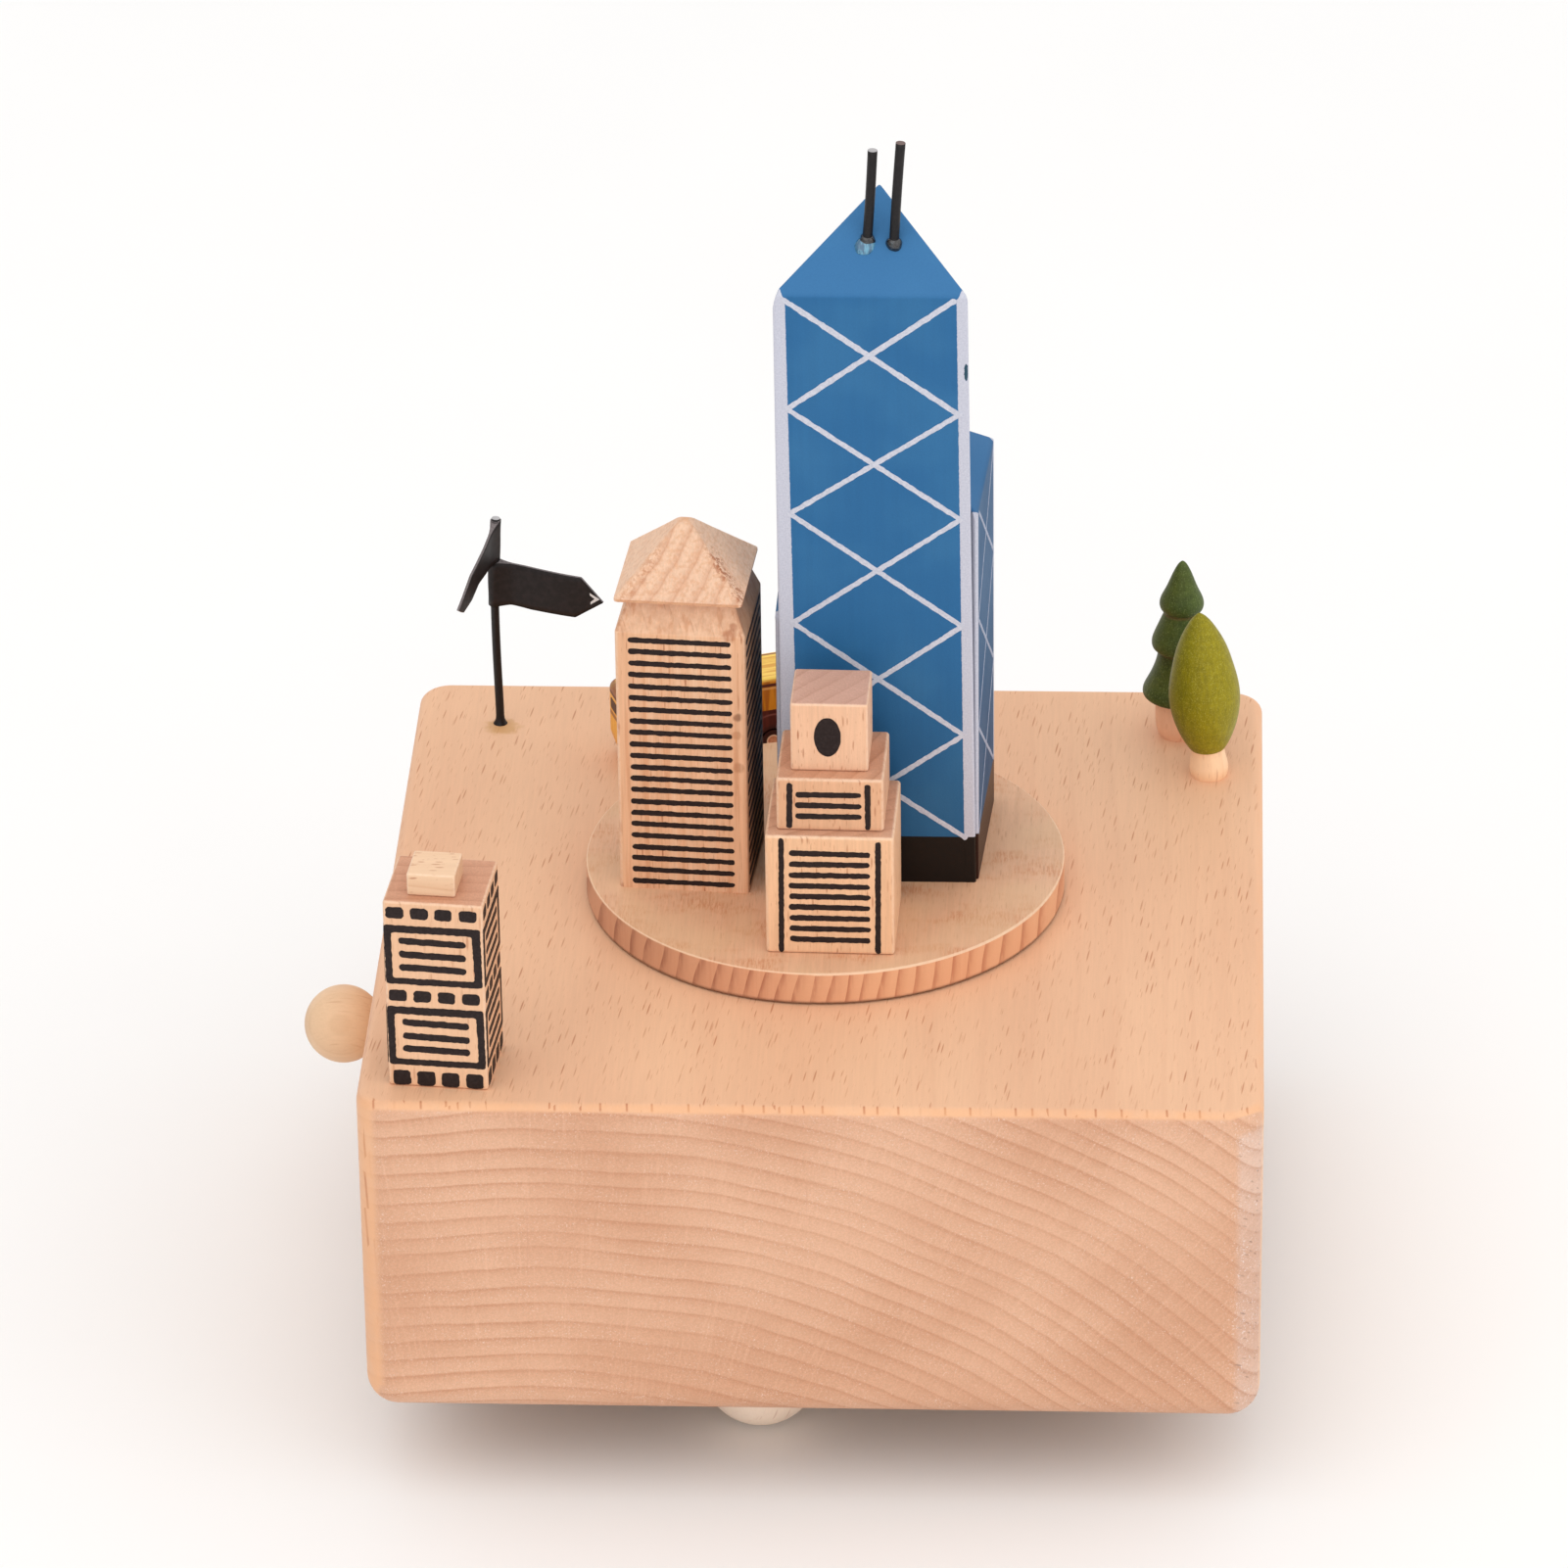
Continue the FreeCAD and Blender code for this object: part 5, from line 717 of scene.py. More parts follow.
board_mat = wood("board_cover", "Y", centre=(15.0, -300.0), spacing=5.0, long_light=(196, 150, 108), long_dark=(170, 124, 84),
                 end_light=(186, 140, 98), end_dark=(160, 114, 76), flecks=1.4, shift=(5.0, 5.0, 5.0), mottle=1.8)

paint("base_block", base_mat)
paint("turntable_disc", disc_mat)
paint("tall_building", tall_mat)
paint("tall_building_roof", roof_mat)
paint("stepped_building_top", step_mat)
paint("stepped_building_middle", step_mid_shaded_mat)
paint("stepped_building_base", step_low_mat)
paint("corner_building", corner_mat)
paint("corner_building_cap", cap_mat)
paint("stop_ball", ball_mat)
paint("winding_ball", ball_low_lit_mat)
paint("oval_tree_trunk", trunk_mat)
paint("fir_trunk", trunk2_mat)
paint("bottom_cover", board_mat)

fir_mat = stained("fir_stain", (58, 70, 24), (72, 80, 26), (76, 92, 42), (120, 132, 78), patch=(44.9, 0.0, 3.0), bands=0.10, necks=(62.38, 56.95))
oval_mat = stained("oval_stain", (100, 98, 4), (114, 110, 4), (146, 134, 18), (182, 176, 78), patch=(49.1, 0.064, 3.4), bands=0.06)
paint("fir_crown", fir_mat)
paint("oval_tree_crown", oval_mat)

# ------------------------------------------------------------------ metal and plastic of the works
steel_mat = metal("steel_zinc", (186, 186, 184))
blue_steel_mat = metal("steel_spring", (112, 114, 120), 0.28)
comb_mat = metal("steel_comb", (196, 196, 194), 0.25, (8.0, 1.0, 1.0))
brass_mat = metal("brass_plate", (214, 178, 104), 0.3)
turned_brass_mat = metal("brass_turned", (220, 186, 112), 0.22)
nickel_mat = metal("nickel_magnet", (206, 204, 200), 0.18, (1.0, 1.0, 1.0))
white_mat = plastic("acetal_white", (232, 230, 222))
black_mat = plastic("plastic_black", (34, 34, 36))
for names, mat in (
    (("cover_screws", "movement_screws", "idler_post", "turntable_shaft", "shaft_clip", "winding_arbor", "winding_stem", "governor_spindle", "stop_rod"), steel_mat),
    (("mainspring", "ratchet_wheel", "ratchet_pawl"), blue_steel_mat),
    (("comb", "comb_screws"), comb_mat),
    (("movement_bedplate", "comb_block", "cylinder_bearings", "governor_frame"), brass_mat),
    (("movement_spacers", "spring_drum", "pinned_cylinder", "cylinder_arbor"), turned_brass_mat),
    (("drive_magnet", "tram_magnet"), nickel_mat),
    (("shaft_bush", "thrust_washer", "turntable_gear", "idler_wheel", "drive_wheel", "governor_wheel", "governor_fan"), white_mat),
    (("magnet_arm",), black_mat),
):
    for n in names:
        paint(n, mat)

# ------------------------------------------------------------------ the tower
SHAFTS = {  # node: (one corner of the outer face, the other, eave height)
    "tower_front_shaft": ((-5.49, -6.9), (19.52, -6.9), 130.1),
    "tower_right_shaft": ((19.37, -6.45), (20.92, 14.9), 100.3),
    "tower_rear_shaft": ((20.9, 15.35), (-5.2, 16.6), 76.0),
    "tower_left_shaft": ((-5.4, 16.3), (-5.6, -6.2), 86.0),
}
white_line = Mat("lattice_white")
_a = white_line.noise(white_line.p, 3.4, 3.0, 0.65)
_c = white_line.mix(white_line.smooth(_a, 0.3, 0.7), srgb(188, 191, 205), srgb(206, 208, 220))
white_line.bump(_a, 0.3, 0.00005)
white_line = white_line.finish(_c, 0.6, spec=0.24)
# painted shade: the white lattice paint made darker and greyer for the right shaft, seen edge on
shaded_lattice_line = Mat("lattice_white_painted_shade")
_a = shaded_lattice_line.noise(shaded_lattice_line.p, 3.4, 3.0, 0.65)
_c = shaded_lattice_line.mix(shaded_lattice_line.smooth(_a, 0.3, 0.7), srgb(150, 160, 184), srgb(176, 184, 204))
shaded_lattice_line.bump(_a, 0.3, 0.00005)
shaded_lattice_line = shaded_lattice_line.finish(_c, 0.6, spec=0.1)


def clip_stroke(p0, p1, w, z_min, seed):
    """A lattice line kept above the foot band."""
    (u0, z0), (u1, z1) = p0, p1
    if z1 < z_min:
        f = (z0 - z_min) / (z0 - z1)
        u1, z1 = u0 + (u1 - u0) * f, z_min
    return stroke((u0, z0), (u1, z1), w, amp=0.11, seed=seed, scale=1.5)


# the front lattice, line by line: (top left, top right) nodes of each crossing
L_Z = [129.6, 114.9, 100.6, 85.5, 70.3, 55.35]
R_Z = [129.95, 114.3, 100.0, 85.2, 69.95, 55.45]
for i, (node, (a, c, eave)) in enumerate(SHAFTS.items()):
    A, Cc = Vector((*a, 0)), Vector((*c, 0))
    along = (Cc - A).normalized()
    mid = (A + Cc) / 2
    half = (Cc - A).length / 2
    front = node == "tower_front_shaft"
    left_line = (-9.189, -0.0130) if front else (-(half - (1.0 if i == 1 else 1.75)), 0.0)
    right_line = (11.212, -0.0103) if front else (half - 1.45, 0.0)
    # the right shaft is the same blue paint painted greyer: the glancing sheen on that face painted into the colour
    tone = ((38, 100, 150), (46, 107, 155)) if i != 1 else ((56, 93, 130), (68, 101, 136))
    chips = ((11.0, 120.05, 0.22, 1.15),) if front else ()
    # its foot band is painted brown: a painted reflection of the wooden disc in the black paint, with the real specular
    # turned down
    extra = dict(gap=-half, foot_band=((46, 27, 21), (58, 34, 27)), spec=0.08) if i == 1 else {}
    paint(node, tower_paint("tower_paint_%d" % i, mid, along, left_line, right_line, eave - 0.15, tone, chips, **extra))
    face = Face(0, 0, 0, 0, "front")
    face.u, face.n, face.o = along, Vector((along.y, -along.x, 0)), Vector((mid.x, mid.y, 0))
    lines = [[], []]

    def edge_at(side_, z_):
        q = left_line if side_ < 0 else right_line
        return q[0] + q[1] * z_ + 0.1 * side_

    for k in range(5):
        lt, lb, rt, rb = L_Z[k], L_Z[k + 1], R_Z[k], R_Z[k + 1]
        pair = [((edge_at(-1, lt), lt), (edge_at(1, rb), rb)), ((edge_at(1, rt), rt), (edge_at(-1, lb), lb))]
        for q, (p0, p1) in enumerate(pair):
            if p1[1] > eave - 2.5:
                continue
            if p0[1] > eave - 0.4:
                f = (p0[1] - (eave - 0.5)) / (p0[1] - p1[1])
                p0 = (p0[0] + (p1[0] - p0[0]) * f, eave - 0.5)
            lines[q].append(clip_stroke(p0, p1, 0.70 if k == 0 else 0.50 if i == 1 else 0.64, 55.4, i * 7 + k + 40 * q))
    # one family of lines crosses over the other, and over the next one's ends
    for q in (0, 1):
        for parity in (0, 1):
            print_on("lattice_%s_%d%d" % (node.split("_")[1], q, parity), face, lines[q][parity::2], shaded_lattice_line if i == 1 else white_line, "turntable", thick=0.030 + 0.012 * q + 0.006 * parity)

# ------------------------------------------------------------------ prints
black_ink = ink("print_black")


def bars(face_half, z_first, z_last, count, u0, u1, w, seed):
    out = []
    for k in range(count):
        z = z_first + (z_last - z_first) * k / (count - 1)
        rnd = random.Random(seed * 100 + k)
        out.append(stroke((u0 + w / 2 + rnd.uniform(-0.06, 0.06), z + rnd.uniform(-0.05, 0.05)), (u1 - w / 2 + rnd.uniform(-0.08, 0.08), z + rnd.uniform(-0.05, 0.05)), w, amp=0.10, seed=seed + k * 1.3, taper=0.12))
    return out


for s, side in enumerate(("front", "right", "back", "left")):
    ahead = side in ("front", "back")
    u0, u1 = (-6.52, 6.35) if ahead else (-7.1, 6.0)
    face = Face(-16.56, -2.15, -4.7, 7.5 if ahead else 8.15, side)
    print_on("tall_lines_" + side, face, bars(0, 84.07, 50.07, 22, u0, u1, 0.74, 3 + 17 * s), black_ink, "turntable")

for s, side in enumerate(("front", "back")):
    f1 = Face(1.80, -17.66, -1.4, 7.5, side)
    sh = bars(0, 63.15, 51.06, 9, -5.0, 4.98, 0.80, 5 + 31 * s)
    sh += [stroke((-5.9, 64.89), (-6.03, 49.5), 0.66, 0.10, 11 + s), stroke((5.99, 64.64), (5.89, 49.55), 0.70, 0.10, 13 + s)]
    print_on("stepped_base_lines_" + side, f1, sh, black_ink, "turntable")
    f2 = Face(1.83, -17.33, -1.4, 6.35, side)
    sh = bars(0, 70.6, 67.62, 3, -4.24, 3.85, 0.80, 6 + 31 * s)
    sh += [stroke((-4.92, 71.84), (-4.99, 66.25), 0.73, 0.10, 15 + s), stroke((4.65, 71.84), (4.62, 66.2), 0.70, 0.10, 16 + s)]
    print_on("stepped_middle_lines_" + side, f2, sh, black_ink, "turntable")
    f3 = Face(1.70, -17.03, -1.4, 4.6, side)
    print_on("stepped_top_oval_" + side, f3, [oval(-0.21, 77.55, 1.65, 2.68, 3 + s)], black_ink, "turntable")

ROWS = {  # squares: heights and their left and right ends
    (67.9, 69.45): ((-6.09, -3.93), (-3.11, -0.95), (-0.13, 1.91), (2.85, 4.95)),
    (56.4, 57.95): ((-6.05, -3.89), (-3.06, -0.89), (-0.06, 2.05), (2.93, 5.04)),
    (44.72, 46.7): ((-5.88, -3.72), (-2.93, -0.71), (0.07, 2.24), (3.08, 5.19)),
}
FRAMES = (  # outer left, right, bottom, top; the same inside; the lines' ends and heights
    ((-6.38, 5.4, 58.8, 66.95), (-5.55, 4.45, 59.6, 66.0), (-4.63, 3.5), (64.75, 62.9, 61.1)),
    ((-6.33, 5.5, 47.5, 55.65), (-5.5, 4.65, 48.3, 54.65), (-4.5, 3.64), (53.4, 51.5, 49.75)),
)


def resample(pts, n):
    L = [0.0]
    for a_, b_ in zip(pts, pts[1:] + pts[:1]):
        L.append(L[-1] + math.dist(a_, b_))
    out, j = [], 0
    for q in range(n):
        t = L[-1] * q / n
        while L[j + 1] < t:
            j += 1
        f = (t - L[j]) / max(L[j + 1] - L[j], 1e-9)
        a_, b_ = pts[j], pts[(j + 1) % len(pts)]
        out.append((a_[0] + (b_[0] - a_[0]) * f, a_[1] + (b_[1] - a_[1]) * f))
    return out


for s, side in enumerate(("front", "right", "back", "left")):
    ahead = side in ("front", "back")
    face = Face(-44.45, -45.07, -5.4, 5.7 if ahead else 6.1, side)
    k = 1.0 if ahead else 0.93
    du_ = 0.38 if side == "front" else 0.45 * k
    shapes, rings = [], []
    for (z0, z1), cols in ROWS.items():
        for u0, u1 in cols:
            shapes.append(rect((u0 + du_) * k, z0, (u1 + du_) * k, z1, 0.42, seed=s * 50 + z0 + u0, amp=0.10))
    for (ol, orr, ob, ot), (il, ir, ib, it), (l0, l1), zs in FRAMES:
        sd = s * 10 + ot
        o1 = rounded([((ol + du_ + 0.06) * k, ob), ((orr + du_ + 0.05) * k, ob), ((orr + du_ - 0.05) * k, ot), ((ol + du_ - 0.03) * k, ot)], 0.3, amp=0.0)
        i1 = rounded([((il + du_ + 0.06) * k, ib + 0.04), ((ir + du_ + 0.04) * k, ib + 0.04), ((ir + du_ - 0.12) * k, it - 0.04), ((il + du_ + 0.0) * k, it - 0.04)], 0.3, amp=0.0)
        n = 160
        rings.append(([wobble(q, 0.10, 2.0, sd) for q in resample(o1, n)], [wobble(q, 0.10, 2.0, sd + 5) for q in resample(i1, n)]))
        for zl in zs:
            shapes.append(stroke(((l0 + du_ + 0.42) * k, zl + 0.07), ((l1 + du_ - 0.42) * k, zl - 0.07), 0.92, 0.10, sd + zl, taper=0.05))
    print_on("corner_print_" + side, face, shapes, black_ink, "base", rings=rings)

# ------------------------------------------------------------------ antennas
wire_black = Mat("wire_black")
_n = wire_black.noise(wire_black.p, 3.0, 3.0, 0.6)
_c = wire_black.mix(wire_black.smooth(_n, 0.35, 0.75), srgb(15, 11, 12), srgb(30, 24, 25))
wire_black.bump(_n, 0.35, 0.00008)
wire_black = wire_black.finish(_c, wire_black.math("ADD", 0.36, wire_black.math("MULTIPLY", _n, 0.2)), spec=0.32)
cut_metal = metal("wire_cut_end", (196, 194, 196), 0.4)
cut_brown = metal("wire_cut_brown", (132, 112, 108), 0.5)


def wire_path(lo, hi, bow, n=14):
    lo, hi = Vector(lo), Vector(hi)
    side = Vector((1, 0, 0))
    return [lo.lerp(hi, i / n) + side * bow * math.sin(math.pi * i / n) for i in range(n + 1)]


a1 = tube("antenna_wire_left", wire_path((5.93, -1.23, 134.85), (6.68, -1.23, 146.98), 0.05), 0.6, wire_black, "turntable", caps=cut_metal, replaces=("antennas",))
a2 = tube("antenna_wire_right", wire_path((9.18, -1.6, 134.55), (10.08, -1.6, 148.15), -0.05), 0.6, wire_black, "turntable", caps=cut_brown, replaces=("antennas",))

glue = Mat("glue_dark")
_n = glue.noise(glue.p, 1.6, 3.0, 0.6)
_c = glue.mix(glue.smooth(_n, 0.52, 0.72), srgb(22, 20, 24), srgb(44, 60, 70))
glue.bump(_n, 0.5, 0.0002)
glue = glue.finish(_c, 0.16, spec=0.6, coat=0.6, coat_rough=0.08)
glue_clear = Mat("glue_teal")
_x, _y, _z = glue_clear.sep(glue_clear.p)
_n = glue_clear.noise(glue_clear.comb(glue_clear.math("MULTIPLY", _x, 2.6), glue_clear.math("MULTIPLY", _y, 0.7), glue_clear.math("MULTIPLY", _z, 0.7)), 1.0, 2.0, 0.6)
_c = glue_clear.mix(glue_clear.smooth(_n, 0.46, 0.66), srgb(34, 92, 126), srgb(92, 154, 182))
glue_clear.bump(_n, 0.4, 0.0002)
glue_clear = glue_clear.finish(_c, 0.14, spec=0.6, coat=0.7, coat_rough=0.06)


def blob(name, centre, normal, rad, height, mat, body, seed, squash=1.0, replaces=()):
    """A small dried drop of glue, lumpy, lying on a surface with that normal."""
    bm = bmesh.new()
    nrm = Vector(normal).normalized()
    a = nrm.orthogonal().normalized()
    b = nrm.cross(a)
    rings = []
    segs = 36
    for r, h in ((1.0, -0.25), (1.0, 0.0), (0.92, 0.30), (0.76, 0.62), (0.52, 0.86), (0.26, 0.97), (0.0, 1.0)):
        if r == 0:
            rings.append([bm.verts.new((Vector(centre) + nrm * height) * MM)])
            continue
        row = []
        for k in range(segs):
            t = 2 * math.pi * k / segs
            rr = rad * r * (1 + 0.16 * noise.noise(Vector((math.cos(t) * 1.3, math.sin(t) * 1.3, seed))))
            row.append(bm.verts.new((Vector(centre) + a * rr * math.cos(t) + b * rr * squash * math.sin(t) + nrm * height * h) * MM))
        rings.append(row)
    for r0, r1 in zip(rings, rings[1:]):
        for k in range(segs):
            j = (k + 1) % segs
            if len(r1) == 1:
                bm.faces.new((r0[k], r0[j], r1[0]))
            else:
                bm.faces.new((r0[k], r0[j], r1[j], r1[k]))
    bm.faces.new(rings[0][::-1])
    o = new_object(name, bm, mat, body, smooth=True)
    if replaces:
        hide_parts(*replaces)
    return o


roof_n = Vector((0, -10.14, 11.5)).normalized()
blob("antenna_glue_left", (5.93, -1.25, 135.08), roof_n, 0.98, 0.72, glue, "turntable", 3.1)
blob("antenna_glue_right", (9.20, -1.66, 134.72), roof_n, 0.98, 0.86, glue, "turntable", 8.4)
blob("antenna_glue_drop", (5.74, -1.80, 134.58), roof_n, 1.42, 0.42, glue_clear, "turntable", 5.7, squash=0.80)

# ------------------------------------------------------------------ signpost
pole_path = [(-43.95, 41.5, 44.3), (-43.97, 41.5, 47.0), (-44.05, 41.5, 50.5), (-44.15, 41.5, 55.0), (-44.20, 41.5, 60.0), (-44.17, 41.5, 65.0), (-44.02, 41.5, 69.5), (-43.75, 41.5, 74.5)]


def smooth_path(pts, k=5):
    out = []
    n = len(pts)
    for i in range(n - 1):
        p0, p1, p2, p3 = (Vector(pts[min(max(i + d, 0), n - 1)]) for d in (-1, 0, 1, 2))
        for j in range(k):
            t = j / k
            out.append(0.5 * ((2 * p1) + (p2 - p0) * t + (2 * p0 - 5 * p1 + 4 * p2 - p3) * t * t + (3 * p1 - p0 - 3 * p2 + p3) * t ** 3))
    out.append(Vector(pts[-1]))
    return out


pp = smooth_path(pole_path)
rad = [0.55 + 0.45 * max(0.0, 1 - (p.z - 44.4) / 1.1) ** 2 for p in pp]
tube("sign_post", pp, 0.55, wire_black, "base", caps=cut_metal, replaces=("sign_pole",), radii=rad)

card = Mat("card_black")
_n = card.noise(card.p, 1.1, 3.0, 0.6)
_f = card.noise(card.p, 7.0, 2.0, 0.6)
_c = card.mix(card.smooth(_n, 0.35, 0.7), srgb(24, 17, 16), srgb(36, 27, 27))
card.bump(_f, 0.2, 0.00004)
card = card.finish(_c, card.math("ADD", 0.46, card.math("MULTIPLY", _f, 0.16)), spec=0.28)
card_edge = Mat("card_edge")
_f = card_edge.noise(card_edge.p, 5.0, 2.0, 0.6)
card_edge = card_edge.finish(card_edge.mix(_f, srgb(64, 54, 56), srgb(150, 142, 142)), 0.7, spec=0.2)
chevron_white = Mat("print_white")
_f = chevron_white.noise(chevron_white.p, 4.0, 2.0, 0.6)
chevron_white = chevron_white.finish(chevron_white.mix(_f, srgb(214, 210, 208), srgb(238, 236, 234)), 0.6, spec=0.3)


def pole_x(z):
    for a, b in zip(pole_path, pole_path[1:]):
        if a[2] <= z <= b[2]:
            f = (z - a[2]) / (b[2] - a[2])
            return a[0] + (b[0] - a[0]) * f
    return pole_path[-1][0]


def flag(name, psi, half_height, centre_line, halves, node, bow, thick=0.32, sleeve=0.85):
    """A strip of card folded round the pole: its two leaves lie back to back. centre_line gives (distance, height), halves the half width there, bow the sideways curve."""
    d = Vector((math.cos(math.radians(psi)), math.sin(math.radians(psi)), 0))
    side = Vector((-d.y, d.x, 0))
    n_s, n_v = len(centre_line), 9
    grid = {}
    bm = bmesh.new()
    # stations along the strip: round the pole first, then out to the tip
    for leaf in (1, -1):
        for i, ((dist, zc), h, bw) in enumerate(zip(centre_line, halves, bow)):
            for j in range(n_v):
                f = 2 * j / (n_v - 1) - 1
                z = zc + h * f
                # the leaves leave the wrap as tangents and close on each other
                apart = thick / 2 + (sleeve * 0.93 - thick / 2) * max(0.0, (2.7 - dist) / 2.4) ** 1.7
                base = Vector((pole_x(z), 41.5, z)) + d * dist + side * (bw + leaf * apart)
                grid[leaf, i, j] = bm.verts.new(base * MM)
    for leaf in (1, -1):
        for i in range(n_s - 1):
            for j in range(n_v - 1):
                q = (grid[leaf, i, j], grid[leaf, i + 1, j], grid[leaf, i + 1, j + 1], grid[leaf, i, j + 1])
                f = bm.faces.new(q if leaf == -1 else q[::-1])
                f.smooth = True
    for i in range(n_s - 1):
        for j in (0, n_v - 1):
            f = bm.faces.new((grid[1, i, j], grid[1, i + 1, j], grid[-1, i + 1, j], grid[-1, i, j]))
            f.material_index = 1
    for j in range(n_v - 1):
        f = bm.faces.new((grid[1, n_s - 1, j], grid[1, n_s - 1, j + 1], grid[-1, n_s - 1, j + 1], grid[-1, n_s - 1, j]))
        f.material_index = 1
    # the wrap round the pole
    z0, z1 = half_height
    segs = 28
    rings = []
    for k in range(7):
        z = z0 + (z1 - z0) * k / 6
        rings.append([bm.verts.new((Vector((pole_x(z), 41.5, z)) + Vector((math.cos(2 * math.pi * s / segs), math.sin(2 * math.pi * s / segs), 0)) * (sleeve + 0.03 * math.sin(3 * 2 * math.pi * s / segs + k))) * MM) for s in range(segs)])
    for r0, r1 in zip(rings, rings[1:]):
        for s in range(segs):
            j = (s + 1) % segs
            f = bm.faces.new((r0[s], r0[j], r1[j], r1[s]))
            f.smooth = True
    for ring, flip in ((rings[0], True), (rings[-1], False)):
        f = bm.faces.new(ring[::-1] if flip else ring)
        f.material_index = 1
    bmesh.ops.recalc_face_normals(bm, faces=bm.faces)
    flags = [f.smooth for f in bm.faces]
    o = new_object(name, bm, [card, card_edge], "base")
    for poly, s in zip(o.data.polygons, flags):
        poly.use_smooth = s
    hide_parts(node)
    return o


def lerp_table(x, table):
    for (a, fa), (b, fb) in zip(table, table[1:]):
        if a <= x <= b:
            return fa + (fb - fa) * (x - a) / (b - a)
    return table[-1][1] if x > table[-1][0] else table[0][1]


# right flag: an arrow board
def bend(x):
    return 0.12 * math.sin(x * 0.5) * min(1.0, x / 3.0)


def leafy(top, bot, last, n, bow):
    cl, hv, bw = [], [], []
    for i in range(n):
        x = 0.3 + (last - 0.3) * i / (n - 1)
        t, b = lerp_table(x, top), lerp_table(x, bot)
        cl.append((x, (t + b) / 2))
        hv.append(max((t - b) / 2, 0.02))
        bw.append(bow(x))
    return cl, hv, bw


cl, hv, bw = leafy([(0.3, 68.36), (6.0, 68.0), (11.85, 67.72), (14.85, 64.48)], [(0.3, 61.98), (2.2, 62.3), (5.0, 62.0), (11.1, 61.9), (14.85, 64.48)], 14.82, 60, bend)
flag("sign_board_right", -16.0, (62.0, 68.3), cl, hv, "sign_flag_right", bw, sleeve=0.85)
# left flag: seen nearly edge on, drooping towards the front
cl, hv, bw = leafy([(0.3, 74.25), (4.66, 72.4), (9.38, 70.92), (11.84, 69.1), (13.6, 67.95)], [(0.3, 68.45), (2.9, 68.5), (6.74, 68.4), (9.2, 67.3), (12.05, 66.85), (13.6, 67.95)], 13.55, 50, lambda x: -0.004 * x * x)
flag("sign_board_left", -103.0, (68.5, 74.2), cl, hv, "sign_flag_left", bw, sleeve=0.70)

# a plain chevron near the tip of the right board, on both leaves
for leaf in (1, -1):
    d = Vector((math.cos(math.radians(-16)), math.sin(math.radians(-16)), 0))
    face = Face(0, 0, 0, 0, "front")
    face.u = d
    face.n = Vector((d.y, -d.x, 0)) * leaf
    face.o = Vector((-44.15, 41.5, 0)) - Vector((d.y, -d.x, 0)) * bend(13.6) + face.n * 0.16
    sh = [resample(rounded([(12.80, 65.84), (14.38, 64.95), (12.82, 63.80), (12.94, 64.22), (13.72, 64.92), (12.92, 65.46)], 0.03, amp=0.0), 90)]
    print_on("sign_chevron_%s" % ("front" if leaf == 1 else "back"), face, sh, chevron_white, "base", thick=0.03, sink=0.07)

# ------------------------------------------------------------------ tram
TRAM_AT = Vector((39.0 * math.cos(math.radians(110)), 39.0 * math.sin(math.radians(110)), 0))
TX = Vector((math.cos(math.radians(20)), math.sin(math.radians(20)), 0))
TY = Vector((-TX.y, TX.x, 0))


def tram_pt(x, y, z):
    return (TRAM_AT + TX * x + TY * y + Vector((0, 0, z))) * MM


